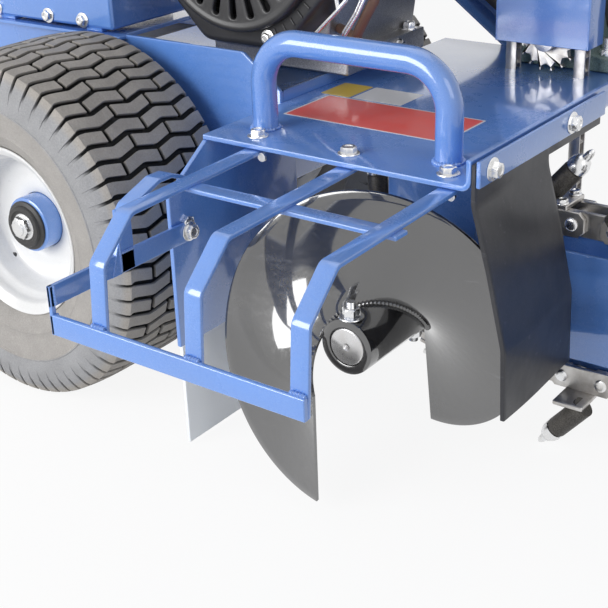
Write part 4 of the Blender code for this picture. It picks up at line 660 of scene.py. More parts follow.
def printed_film(name, colour):
    """Gloss label film: even colour, faint waves from the paint under it, dust in patches."""
    made, tree, shader = finish(name, Coat_Weight=0.4, Coat_Roughness=0.08)
    peel = use(tree, ORANGE_PEEL, Wave_Height=0.0001, Wave_Scale=180.0)
    film = use(tree, SETTLED_DUST, Amount=0.10)
    worn = blended(tree, ramp(tree, peel["Cloud"], 0, 1, 0, 0.12), colour, (0.9, 0.9, 0.9))
    base = blended(tree, film["Mask"], worn, (0.5, 0.48, 0.45))
    fed(tree, shader, base, ramp(tree, film["Mask"], 0, 1, 0.28, 0.7), peel["Normal"])
    return made


BLUE = sprayed("blue_powder_coat_gloss", (0.095, 0.245, 0.66), (0.28, 0.48, 0.84), 0.22, coat=0.9)
RIM_WHITE = sprayed("white_rim_enamel", (0.73, 0.73, 0.725), (0.95, 0.95, 0.95), 0.26, 0.0001,
                    dust=0.16)
SCRAPER_GREY = sprayed("pale_blade_coat", (0.90, 0.94, 0.97), (0.96, 0.98, 0.99), 0.36, 0.00012, 0.3)
GLOSS_BLACK = auger_paint()
ZINC = plated("zinc_plate", (0.80, 0.81, 0.83), 0.20, (0.62, 0.58, 0.50))
BRIGHT = plated("turned_steel", (0.70, 0.70, 0.71), 0.22, (0.46, 0.43, 0.39), 0.00003)
CHAIN = plated("chain_steel_worn", (0.58, 0.57, 0.56), 0.30, (0.30, 0.27, 0.24), 0.00003, 500.0, 0.6)
DARK_STEEL = plated("heat_dulled_steel", (0.20, 0.19, 0.18), 0.42, (0.10, 0.08, 0.06), 0.00002, 300.0, 0.7)
HOLDER = casting("dark_tooth_holder", (0.10, 0.095, 0.09), (0.03, 0.028, 0.026), 0.42, 0.7)
IRON = casting("grey_iron", (0.22, 0.21, 0.20), (0.09, 0.085, 0.08), 0.48, 0.6)
BEARING_GREEN = casting("bearing_paint", (0.20, 0.30, 0.28), (0.08, 0.13, 0.12), 0.38, 0.0, 0.0002)
ALUMINIUM = casting("die_cast_aluminium", (0.52, 0.52, 0.53), (0.28, 0.28, 0.29), 0.38, 1.0, 0.00015)
BALLAST = casting("black_ballast_paint", (0.030, 0.030, 0.032), (0.012, 0.012, 0.013), 0.42, 0.0, 0.0004)
TYRE = tread_rubber()
BELTING = flap_belting()
PLASTIC = moulded("black_satin_moulding", (0.016, 0.016, 0.017), 0.42)
FAN_PLASTIC = moulded("fan_cover_moulding", (0.022, 0.022, 0.024), 0.34, 0.00004, 1500.0, 0.08, 0.15)
GRIP = moulded("grip_moulding", (0.012, 0.012, 0.012), 0.62, 0.0003, 600.0)
HOSE = moulded("brown_fuel_hose", (0.16, 0.085, 0.055), 0.48, 0.0001, 700.0)
BELT = moulded("belt_moulding", (0.020, 0.019, 0.018), 0.66, 0.0002, 900.0, 0.3)
LABEL_RED = printed_film("red_label_film", (0.95, 0.070, 0.045))
LABEL_WHITE = printed_film("white_label_film", (0.86, 0.86, 0.86))
LABEL_YELLOW = printed_film("yellow_label_film", (0.80, 0.55, 0.02))


# Pieces


def dressed(obj, material, body, replaces=()):
    """Give a finished object its material, its body and the CAD nodes that it stands for."""
    bpy.context.scene.collection.objects.link(obj)
    obj.data.materials.clear()
    obj.data.materials.append(material)
    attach(obj, body)
    if replaces:
        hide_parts(*replaces)


def faced_outwards(mesh, angle, merge=0.0):
    """Merge a mesh's doubles where asked, turn its faces outwards, smooth it and keep the
    edges above an angle in degrees sharp."""
    work = bmesh.new()
    work.from_mesh(mesh)
    if merge:
        bmesh.ops.remove_doubles(work, verts=work.verts, dist=merge)
    bmesh.ops.recalc_face_normals(work, faces=work.faces)
    work.to_mesh(mesh)
    work.free()
    mesh.shade_smooth()
    mesh.set_sharp_from_angle(angle=math.radians(angle))


def piece(name, shapes, material, body, replaces=(), angle=35):
    """A mesh from shapes in the deck's frame, merged, with its faces outwards."""
    spots, faces = joined(shapes)
    mesh = bpy.data.meshes.new(name)
    mesh.from_pydata((spots + ORIGIN).tolist(), [], faces)
    faced_outwards(mesh, angle, MERGE_DISTANCE)
    dressed(bpy.data.objects.new(name, mesh), material, body, replaces)


def soft_edged(node, material, edge, segments=2):
    """A merged copy of a CAD node whose rims are rounded by a bevel, in the node's place."""
    work = bmesh.new()
    work.from_mesh(NODES[node].data)
    bmesh.ops.remove_doubles(work, verts=work.verts, dist=CAD_MERGE_DISTANCE)
    bmesh.ops.dissolve_limit(work, angle_limit=FLAT_ANGLE, verts=work.verts, edges=work.edges)
    mesh = bpy.data.meshes.new(node + "_finished")
    work.to_mesh(mesh)
    work.free()
    mesh.shade_smooth()
    obj = bpy.data.objects.new(node + "_finished", mesh)
    dressed(obj, material, NODES[node]["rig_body"], (node,))
    bevel = obj.modifiers.new("rims", "BEVEL")
    bevel.width = edge
    bevel.segments = segments
    bevel.limit_method = "ANGLE"
    bevel.angle_limit = BEVEL_ANGLE
    bevel.use_clamp_overlap = False
    bevel.harden_normals = True


WHEEL_X, WHEEL_Z = -0.360, -0.1604
WHEEL_Y = {"right": 0.024, "left": 0.576}
FLIP = {"right": 1, "left": -1}
TREAD_RADIUS = 0.2286
TREAD_PITCHES = 64
TREAD_SEGMENT = 0.031
TREAD_LEAN = 0.0075
TREAD_DEPTH = 0.0068
TREAD_EDGE = 0.0935
TREAD_RIM = 0.0875
BLOCK_CHAMFER = (0.0024, 0.0034)
GROOVE_COLUMNS = (-0.0036, -0.0027, 0.0027, 0.0036, 0.0080, 0.0140)
CROWN_DROP = 0.004
TREAD_END, TREAD_FADE = 0.096, 0.004
LEAN_END, LEAN_FADE = 0.118, 0.03
BEND_HALF, BEND_REACH = 0.0025, 0.08
GROOVE_FOOT, GROOVE_FADE = 0.199, 0.020
SHOULDER, SHOULDER_DEPTH = 0.09, 0.75
WALL_START, WALL_SQUEEZE = 0.095, 0.7
TONE_START, TONE_FADE = 0.2200, 0.008
RING_RADIUS, RING_TONE = 0.1735, 0.30


def tyre_side():
    """Half outline of the carcass as (radius, place across) from the tread's edge to the
    bead: a shoulder arc and a bulged sidewall with two fine rings on it."""
    shoulder = [(0.2240, 0.0978), (0.2195, 0.1012), (0.2120, 0.1045), (0.2040, 0.1072), (0.1900, 0.1080)]
    wall = [(0.1800, 0.1075), (0.1755, 0.1071), (0.1745, 0.1080), (0.1725, 0.1080), (0.1715, 0.1068),
            (0.1640, 0.1058), (0.1560, 0.1045), (0.1470, 0.1022), (0.1400, 0.1000), (0.1385, 0.1004),
            (0.1370, 0.0994), (0.1290, 0.0962), (0.1215, 0.0920), (0.1170, 0.0868), (0.1150, 0.0850)]
    return np.array(shoulder + wall)


def tyre_outline():
    """Radius and place across of the whole outside, bead to bead. Across the crown, radius =
    tread radius - drop (place / half width)^4, with points on both rims of each bend."""
    low, high = BLOCK_CHAMFER
    bends = np.arange(-3, 4) * TREAD_SEGMENT
    across = np.sort(np.concatenate([bends + k for k in (-high, -low, low, high, TREAD_SEGMENT / 2)]))
    across = across[np.abs(across) < TREAD_RIM]
    across = np.concatenate(((-TREAD_EDGE, -TREAD_RIM), across, (TREAD_RIM, TREAD_EDGE)))
    half = tyre_side()
    crown = TREAD_RADIUS - CROWN_DROP * (across / TREAD_EDGE) ** 4
    return (np.concatenate((half[::-1, 0], crown, half[:, 0])),
            np.concatenate((-half[::-1, 1], across, half[:, 1])))


def tyre(side):
    """A turf tyre. Around, each pitch of the tread has six columns that follow a zigzag:
    shift = lean x triangle wave of the place across. A point lies lower by the tread's depth
    on the zigzag grooves, and on short grooves across every second bend of each row."""
    radius, place = tyre_outline()
    inner = np.array([(0.1130, 0.080), (0.150, 0.092), (0.200, 0.078), (0.205, 0.0), (0.200, -0.078),
                      (0.150, -0.092), (0.1130, -0.080)])
    column = np.array(GROOVE_COLUMNS)
    pitch = TAU * TREAD_RADIUS / TREAD_PITCHES
    pitches = np.arange(TREAD_PITCHES)
    count = len(pitches) * len(column)
    row_of = np.repeat(pitches, len(column))
    in_groove = np.tile((0, 1, 1, 0, 0, 0), TREAD_PITCHES)[:, None]
    last_in_row = np.tile((-1, 0, 0, 0, 0, 0), TREAD_PITCHES) + row_of
    wave = np.abs((place / TREAD_SEGMENT + 100) % 2 - 1) - 0.5
    near_tread = np.clip((TREAD_END - np.abs(place)) / TREAD_FADE, 0, 1)
    shift = TREAD_LEAN * wave * np.clip((LEAN_END - np.abs(place)) / LEAN_FADE, 0, 1)
    bend_index = np.rint(place / TREAD_SEGMENT).astype(int)
    near_bend = np.abs(place - bend_index * TREAD_SEGMENT) < BEND_HALF
    near_bend &= np.abs(place) < BEND_REACH
    crossing = near_bend[None, :] & ((bend_index[None, :] + last_in_row[:, None]) % 2 == 0)
    fade = np.clip((radius - GROOVE_FOOT) / GROOVE_FADE, 0, 1)
    share = np.where(np.abs(place) > SHOULDER, SHOULDER_DEPTH, 1.0)
    depth = np.maximum(in_groove * fade[None, :] * share, crossing * near_tread[None, :])
    narrow = np.where(np.abs(place) > WALL_START, WALL_SQUEEZE, 1.0)
    turn = (row_of * pitch)[:, None] + np.tile(column, TREAD_PITCHES)[:, None] * narrow
    angle = (turn + shift) / TREAD_RADIUS
    outward = np.abs(unit(np.stack((np.gradient(place), -np.gradient(radius)), -1)))
    r = radius - depth * TREAD_DEPTH * outward[:, 0]
    y = place - depth * TREAD_DEPTH * np.sign(place) * outward[:, 1]
    r = np.concatenate((r, np.broadcast_to(inner[:, 0], (count, len(inner)))), 1)
    y = np.concatenate((y, np.broadcast_to(inner[:, 1], (count, len(inner)))), 1)
    angle = np.concatenate((angle, np.broadcast_to(angle[:, -1:], (count, len(inner)))), 1)
    points = np.stack((WHEEL_X + r * np.sin(angle), WHEEL_Y[side] + y, WHEEL_Z + r * np.cos(angle)), -1)
    spots, faces = grid(points, True, True)
    mesh = bpy.data.meshes.new(side + "_tyre_tread")
    mesh.from_pydata((spots + ORIGIN).tolist(), [], faces.tolist())
    tone = np.clip((TONE_START - r) / TONE_FADE, 0, 1) * np.where(r < RING_RADIUS, RING_TONE, 1.0)
    deep = np.concatenate((depth, np.zeros((count, len(inner)))), 1)
    for name, values in (("tread_depth", deep), ("sidewall_tone", tone)):
        attribute = mesh.attributes.new(name, "FLOAT", "POINT")
        attribute.data.foreach_set("value", values.ravel().astype(np.float32))
    faced_outwards(mesh, 38)
    dressed(bpy.data.objects.new(side + "_tyre_tread", mesh), TYRE, side + "_wheel", (side + "_tyre",))


def on_wheel(side, profile, steps, closed):
    """A profile of (radius, place from the wheel's middle) turned about a wheel's axle. The
    left wheel's is the mirror image."""
    profile = np.array(profile) * (1, FLIP[side])
    return turned(profile, (WHEEL_X, WHEEL_Y[side], WHEEL_Z), "Y", steps, closed)


def rim(side):
    """Pressed rim: lip, two steps, well and disc as one turned profile with a 3 mm wall."""
    face = [(0.1160, -0.0870), (0.1160, -0.0885), (0.1148, -0.0895), (0.1125, -0.0890), (0.1090, -0.0850),
            (0.1040, -0.0830), (0.1015, -0.0800), (0.1005, -0.0740), (0.0990, -0.0690), (0.0940, -0.0655),
            (0.0915, -0.0610), (0.0905, -0.0480), (0.0890, -0.0390), (0.0850, -0.0335), (0.0790, -0.0315),
            (0.0640, -0.0315), (0.0590, -0.0335), (0.0500, -0.0345), (0.0400, -0.0345), (0.0382, -0.0335)]
    rear = [(0.0382, -0.0285), (0.0600, -0.0285), (0.0830, -0.0280), (0.0860, -0.0200), (0.0860, 0.0400),
            (0.0985, 0.0760), (0.1000, 0.0820), (0.1125, 0.0890), (0.1160, 0.0875), (0.1030, 0.0800),
            (0.1010, 0.0750), (0.0890, 0.0400), (0.0890, -0.0200), (0.0935, -0.0560), (0.1010, -0.0700),
            (0.1025, -0.0790)]
    piece(side + "_rim_pressing", [on_wheel(side, face + rear, 96, True)], RIM_WHITE, side + "_wheel",
          (side + "_rim",), 40)


def hub(side):
    """Axle hub inside the rim: painted barrel and flange, black cap ring, bright nut, valve."""
    flip = FLIP[side]
    body = side + "_wheel"
    centre = np.array((WHEEL_X, WHEEL_Y[side], WHEEL_Z))
    barrel = [(0.0, -0.0590), (0.0340, -0.0590), (0.0368, -0.0575), (0.0375, -0.0555), (0.0375, -0.0350),
              (0.0372, -0.0245), (0.0570, -0.0205), (0.0578, -0.0195), (0.0578, -0.0145), (0.0300, -0.0142),
              (0.0300, 0.0848), (0.0162, 0.0850), (0.0160, 0.1558), (0.0, 0.1560)]
    piece(side + "_hub_barrel", [on_wheel(side, barrel, 64, False)], BLUE, body, (side + "_axle",))
    cap = [(0.0155, -0.0592), (0.0330, -0.0592), (0.0335, -0.0605), (0.0330, -0.0622), (0.0285, -0.0640),
           (0.0282, -0.0672), (0.0272, -0.0684), (0.0225, -0.0686), (0.0205, -0.0665), (0.0155, -0.0660)]
    piece(side + "_hub_cap_ring", [on_wheel(side, cap, 64, True)], PLASTIC, body)
    way = np.array((0, -flip, 0))
    end = centre + way * 0.0600
    shapes = [bolt(end + way * 0.0050, way, 0.0270, 0.0105, 0.0185, 0.4),
              rod(end, end + way * 0.0175, 0.0098, 28)]
    piece(side + "_hub_nut", shapes, ZINC, body)
    foot = centre + np.array((-0.0650, -0.0330 * flip, -0.0665))
    lean = np.array((-0.35, -flip, -0.35))
    stem = [(0.0070, 0.0), (0.0075, 0.0030), (0.0058, 0.0060), (0.0048, 0.0150), (0.0040, 0.0160),
            (0.0040, 0.0170), (0.0046, 0.0175), (0.0046, 0.0250), (0.0038, 0.0262)]
    piece(side + "_valve_stem", [stacked(even_rows(stem, 20), foot, lean)], PLASTIC, body)


for wheel_side in ("right", "left"):
    tyre(wheel_side)
    rim(wheel_side)
    hub(wheel_side)


# Deck, guard, handle and flap

DECK_LONG = 0.552
DECK_FRONT = 0.274
LIP_TOP = 0.028
FOLD_RADIUS = 0.006
BAR_PLACES = (0.0, 0.126, 0.252)
BAR_WIDE = 0.021
BAR_THICK = 0.005
FRAME_LEFT, FRAME_LEFT_IN = -0.066, -0.061
FRAME_OUT, FRAME_OUT_IN = -0.263, -0.257
FRAME_LOW = -0.146
HANDLE_PLACES = (-0.023, 0.222)
HANDLE_Y = 0.057
HANDLE_TOP = 0.104
HANDLE_RADIUS = 0.015
FLAP_X = 0.2804
FLAP_WIDE = 0.166
FLAP_THICK = 0.005
FLAP_WAVE = 0.0016
CLAMP_BACK, CLAMP_FACE = 0.2856, 0.2906
CLAMP_LONG = 0.300


def plank(low, high, axis, radius=0.0012, edge=0.0008):
    """A flat bar between two corners, its long rims round and its two ends chamfered."""
    keep = [k for k in range(3) if "XYZ"[k] != axis]
    end = "XYZ".index(axis)
    ring = rounded_ring([low[k] for k in keep], [high[k] for k in keep], radius, 3)
    return slab(ring, low[end], high[end], axis, edge)


def deck():
    """Folded deck: a section carried along the top surface and up the lip, with its bolts."""
    path = filleted([(-DECK_BACK, 0, 0), (DECK_FRONT, 0, 0), (DECK_FRONT, 0, LIP_TOP)], FOLD_RADIUS, 8)
    section = rounded_section(DECK_LONG, DECK_THICK, 0.0012) + (DECK_LONG / 2, DECK_THICK / 2)
    piece("deck_plate", [carried(section, path, ALONG_Y, edge=0.0009)], BLUE, ROOT, ("digging_deck",))
    heads = [bolt((x, y, 0), ALONG_Z, 0.0160, 0.0085, 0.0125, turn)
             for x, y, turn in ((-0.012, 0.028, 0.2), (0.114, 0.028, 0.7), (0.240, 0.025, 0.4))]
    ends = [rod((x, 0.004, -0.0135), (x, -0.0005, -0.0135), 0.0052, 20) for x in (0.014, 0.257)]
    piece("deck_bolts", heads + ends, ZINC, ROOT)


def guard():
    """Three bent flat bars, cross bar, bottom bar and the framed end, with their welds."""
    section = rounded_section(BAR_WIDE, BAR_THICK, 0.0013) + (0, BAR_THICK / 2)
    shapes = []
    welds = []
    for x in BAR_PLACES:
        path = [(x, 0.030, -0.0064), (x, -0.205, -0.0120), (x, -0.251, -0.055), (x, -0.258, -0.1455)]
        shapes.append(carried(section, filleted(path, 0.015, 8), ALONG_X, edge=0.0008))
        welds.append(bead([(x - 0.0095, -0.2578, -0.1222), (x + 0.0095, -0.2578, -0.1222)], 0.0030, 0.2))
        for y in (-0.1196, -0.0974):
            welds.append(bead([(x - 0.0090, y, -0.0150), (x + 0.0090, y, -0.0150)], 0.0022, 0.2))
    shapes.append(plank((-0.0105, -0.119, -0.0190), (0.268, -0.098, -0.0140), "X"))
    corner = (FRAME_LEFT, FRAME_OUT, FRAME_LOW)
    shapes.append(plank(corner, (0.2625, FRAME_OUT_IN, -0.122), "X", 0.0016))
    shapes.append(plank(corner, (FRAME_LEFT_IN, FRAME_OUT_IN, -0.090), "Z"))
    shapes.append(plank((FRAME_LEFT, FRAME_OUT, -0.114), (FRAME_LEFT_IN, -0.038, -0.090), "Y"))
    shapes.append(plank((FRAME_LEFT, -0.160, -0.114), (FRAME_LEFT_IN, -0.137, -0.040), "Z"))
    bends = ((-0.160, -0.045), (-0.150, -0.034), (-0.104, -0.018), (-0.083, -0.018), (-0.055, -0.030),
             (-0.045, -0.045))
    arch = filleted([(FRAME_LEFT, y, z) for y, z in bends], 0.012, 5)
    strap = rounded_section(BAR_WIDE, BAR_THICK, 0.0012) + (BAR_WIDE / 2, -BAR_THICK / 2)
    shapes.append(carried(strap, arch, ALONG_X, edge=0.0008))
    gusset = [(-0.159, -0.072), (-0.159, -0.114), (-0.174, -0.114)]
    shapes.append(slab(gusset, -0.0655, -0.0600, "X"))
    seams = (((-0.1597, -0.075), (-0.1597, -0.112), 0.0018),
             ((-0.1373, -0.0895), (-0.1597, -0.0895), 0.0020),
             ((-0.2575, -0.0905), (-0.2575, -0.113), 0.0020),
             ((-0.2568, -0.1215), (-0.2568, -0.144), 0.0020))
    for start, end, radius in seams:
        welds.append(bead([(FRAME_LEFT_IN + 0.0005, *start), (FRAME_LEFT_IN + 0.0005, *end)], radius))
    piece("guard_bars", shapes + welds, BLUE, ROOT, ("auger_guard",))
    head = bolt((FRAME_LEFT_IN, -0.046, -0.102), ALONG_X, 0.0160, 0.0085, 0.0120, 0.3)
    piece("guard_bolt", [head], ZINC, ROOT)


def handle():
    """Lifting tube: a circle carried along a path with two long bends, and its welds."""
    low, high = 0.0003, HANDLE_TOP
    near, far = HANDLE_PLACES
    route = [(near, HANDLE_Y, low), (near, HANDLE_Y, high), (far, HANDLE_Y, high), (far, HANDLE_Y, low)]
    shapes = [carried(ring_section(HANDLE_RADIUS, 36), filleted(route, 0.065, 18), ALONG_Y)]
    turn = np.linspace(0, TAU, 40)
    reach = HANDLE_RADIUS + 0.0005
    for x in HANDLE_PLACES:
        foot = laid(x + reach * np.cos(turn), HANDLE_Y + reach * np.sin(turn), np.full(40, 0.0014), "Z")
        shapes.append(bead(foot, 0.0028, 0.22, 0.0040))
    piece("deck_handle_tube", shapes, BLUE, ROOT, ("deck_handle",), 50)


def flap():
    """Hanging rubber sheet: the bent path is carried across, and lower down each point moves
    outwards by 1.6 mm x (share of the way down)^2 x sin(1.3 pi y / width)."""
    top = 0.0238
    path = [(FLAP_X, 0, top), (FLAP_X, 0, -0.020), (0.300, 0, -0.090), (0.319, 0, -0.170),
            (0.322, 0, -0.2545)]
    line = filleted(path, 0.050, 8)
    line = np.concatenate([np.linspace(a, b, 4)[:-1] for a, b in zip(line[:-1], line[1:])] + [line[-1:]])
    way = unit(np.gradient(line, axis=0))
    outwards = np.stack((-way[:, 2], np.zeros(len(way)), way[:, 0]), -1)
    across = np.concatenate(((0.0, 0.0008), np.linspace(0.006, 0.160, 22), (FLAP_WIDE - 0.0008, FLAP_WIDE)))
    down = np.linspace(0, 1, len(line))
    swell = FLAP_WAVE * down[:, None] ** 2 * np.sin(1.3 * math.pi * across / FLAP_WIDE + 0.4)
    rims = np.ones(len(across))
    rims[[0, -1]] = 0.80
    sides = []
    for away in (-FLAP_THICK / 2, FLAP_THICK / 2):
        lift = swell + FLAP_THICK / 2 + away * rims
        sides.append(line[:, None] + outwards[:, None] * lift[..., None] + ALONG_Y * across[:, None])
    sheet = strip(np.concatenate((sides[0], sides[1][:, ::-1]), 1))
    ledge = plank((FLAP_X, 0.160, -0.012), (CLAMP_BACK - 0.0003, CLAMP_LONG, top), "Y", 0.0008, 0.0006)
    piece("flap_sheet", [sheet, ledge], BELTING, ROOT, ("spoil_flap",), 40)
    bar = plank((CLAMP_BACK, 0.0, 0.0), (CLAMP_FACE, CLAMP_LONG, LIP_TOP), "Y", 0.0014, 0.0009)
    piece("clamp_bar", [bar], BLUE, ROOT, ("flap_clamp",))
    heads = [bolt((CLAMP_FACE, y, LIP_TOP / 2), ALONG_X, 0.0160, 0.0095, 0.0125, turn)
             for y, turn in ((0.025, 0.15), (0.209, 0.5))]
    piece("clamp_bolts", heads, ZINC, ROOT)


def side_plate():
    """Plate beside the auger and the scraper bolted behind it."""
    soft_edged("auger_side_plate", BLUE, 0.0013)
    soft_edged("auger_scraper", SCRAPER_GREY, 0.0011)
    plate_back = in_deck("auger_scraper")[0][0] + 0.0065
    heads = [bolt((plate_back, y, -0.222), -ALONG_X, 0.0170, 0.0085, 0.0125, 0.4) for y in (-0.035, 0.043)]
    plate_face = in_deck("auger_side_plate")[1][0]
    heads.append(bolt((plate_face, -0.045, -0.093), ALONG_X, 0.0160, 0.0060, 0.0, 0.1))
    piece("side_plate_bolts", heads, ZINC, ROOT)


deck()
guard()
handle()
flap()
side_plate()


# Auger, headshaft, boom and digging chain

HEAD = np.array((0.146, 0.0, -0.203))
FLIGHT_RADIUS = 0.168
FLIGHT_THICK = 0.005
FLIGHT_START = -0.0928
FLIGHT_PITCH = 0.229
FLIGHT_TURN = math.radians(355)
TUBE_RADIUS = 0.0335
TUBE_LOW, TUBE_HIGH = -0.0308, 0.134
THREAD_PITCH = 0.0015
HEADSHAFT = "headshaft_group"
BEARING_BOLT_CIRCLE = 0.044


def thread(start, way, radius, length):
    """A threaded end: radius swells by a triangle wave of the height over the pitch."""
    count = 2 * int(length / THREAD_PITCH) + 1
    crest = np.where(np.arange(count) % 2, radius, radius * 0.90)
    return stacked(even_rows(zip(crest, np.linspace(0, length, count)), 20), start, way)


def on_helix(radius, turn, lift=0.0):
    """Points of the flight: (r sin(u - pi), start + pitch u / 2 pi, r cos(u - pi))."""
    angle = turn - math.pi
    return np.stack((HEAD[0] + radius * np.sin(angle), FLIGHT_START + FLIGHT_PITCH * turn / TAU + lift,
                     HEAD[2] + radius * np.cos(angle)), -1)


def auger():
    """One turn of a helicoid with a round rim, its tube, root weld and the two cross bolts."""
    out = np.linspace(TUBE_RADIUS - 0.0007, FLIGHT_RADIUS - 0.0012, 16)
    tip = np.array([FLIGHT_RADIUS - 0.0004, FLIGHT_RADIUS, FLIGHT_RADIUS, FLIGHT_RADIUS - 0.0004])
    half = np.full(16, FLIGHT_THICK / 2)
    loop_r = np.concatenate((out, tip, out[::-1]))
    loop_y = np.concatenate((half, (0.0021, 0.0012, -0.0012, -0.0021), -half))
    turn = np.linspace(0, FLIGHT_TURN, 241)
    flight = strip(on_helix(loop_r, turn[:, None] * np.ones(len(loop_r)), loop_y))
    sleeve = [(0.0228, TUBE_LOW + 0.0010), (0.0250, TUBE_LOW), (0.0300, TUBE_LOW),
              (0.0330, TUBE_LOW + 0.0012), (TUBE_RADIUS, TUBE_LOW + 0.0030),
              (TUBE_RADIUS, TUBE_HIGH - 0.0015), (TUBE_RADIUS - 0.0012, TUBE_HIGH), (0.0228, TUBE_HIGH)]
    sleeve_tube = turned(sleeve, (HEAD[0], 0, HEAD[2]), "Y", 64, True)
    touch = (TUBE_LOW - FLIGHT_START) / FLIGHT_PITCH * TAU
    seam = np.linspace(touch + 0.03, FLIGHT_TURN - 0.03, 200)
    welds = [bead(on_helix(0.0348, seam, lift), 0.0030, 0.25, 0.0045) for lift in (-0.0040, 0.0040)]
    piece("auger_screw", [flight, sleeve_tube, *welds], GLOSS_BLACK, HEADSHAFT, ("auger",), 40)
    heads = []
    for y, side in ((-0.0188, 1), (0.112, -1)):
        way = ALONG_Z * side
        foot = HEAD + ALONG_Y * y + way * (TUBE_RADIUS - 0.0006)
        heads.append(bolt(foot, way, 0.0185, 0.0125, 0.0145, 0.3))
        heads.append(thread(foot + way * 0.0100, way, 0.0056, 0.0090))
    piece("auger_bolts", heads, ZINC, HEADSHAFT)


def headshaft():
    """Turned shaft with a chamfered end and a centre hole, and its chain wheels."""
    near, far = (limit[1] for limit in in_deck("headshaft"))
    profile = [(0.0, near + 0.0080), (0.0016, near + 0.0075), (0.0017, near + 0.0040),
               (0.0042, near + 0.0006), (0.0046, near), (0.0205, near), (0.0215, near + 0.0004),
               (0.0223, near + 0.0014), (0.0223, far - 0.0012), (0.0210, far), (0.0, far)]
    piece("headshaft_turned", [turned(profile, (HEAD[0], 0, HEAD[2]), "Y", 64)], BRIGHT, HEADSHAFT,
          ("headshaft",))
    soft_edged("drive_sprocket", IRON, 0.0008)
    soft_edged("driven_sprocket", CHAIN, 0.0006)
    for side in ("right", "left"):
        soft_edged(side + "_hanger", BLUE, 0.0012)
        soft_edged(side + "_head_bearing", IRON, 0.0007)
        way = -ALONG_Y * FLIP[side]
        low, high = in_deck(side + "_head_bearing")
        face = low[1] if side == "right" else high[1]
        heads = []
        for angle in np.radians((45, 135, 225, 315)):
            spot = (HEAD[0], face, HEAD[2]) + BEARING_BOLT_CIRCLE * spoke(angle) - way * 0.0050
            heads.append(bolt(spot, way, 0.0150, 0.0062, 0.0, angle))
        piece(side + "_bearing_bolts", heads, ZINC, ROOT)


LINK_PITCH = 0.0508
LINK_PLATE = 0.006
LINK_GAP = 0.0125
LINK_CORNER = 0.0085
LINK_END = 0.0160
LINK_LOW = 0.0080
LINK_HIGH = 0.0155
LINK_COUNT = 13
WHEEL_TEETH = 12
CHAIN_RADIUS = LINK_PITCH / 2 / math.sin(math.pi / WHEEL_TEETH)
CHAIN_Y = 0.230
BUSH_RADIUS = 0.0094
BUSH_LONG = 0.0249
TOOTH_PLACES = (0.047, -0.005, -0.047, 0.005)
TOOTH_BASE = 0.013
SADDLE_HALF = 0.0245
SADDLE_LONG = 0.038
SADDLE_LOW, SADDLE_TOP = 0.0150, 0.0212
TOOTH_LEAN = np.array((0.64, 0, 0.768))
TOOTH_BOLT_Y = 0.0175
BOOM = "boom_group"


def link_places(straight, teeth, pitch, radius, centre):
    """Start, forward and outward direction of each link on two runs and two half circles."""
    reach = straight * pitch
    wrap = teeth // 2
    step = np.arange(straight) * pitch
    bend = math.pi / 2 - math.pi * np.arange(wrap) / wrap
    upper = np.stack((step, np.full(straight, radius)), -1)
    nose = arc(radius, bend, reach)
    half = np.concatenate((upper, nose))
    flat = np.concatenate((half, np.array((reach, 0.0)) - half))
    way = unit(np.roll(flat, -1, 0) - flat)
    zero = np.zeros(len(flat))
    place = laid(flat[:, 0], flat[:, 1], zero, "Y") + centre
    return place, laid(way[:, 0], way[:, 1], zero, "Y"), laid(-way[:, 1], way[:, 0], zero, "Y")


def placed(shape, place, way, away):
    """A shape drawn in a link's own frame (forward, sideways, outward), put in its place."""
    spots, faces = shape
    spots = np.asarray(spots, float)
    return place + spots[:, :1] * way + spots[:, 1:2] * ALONG_Y + spots[:, 2:] * away, faces


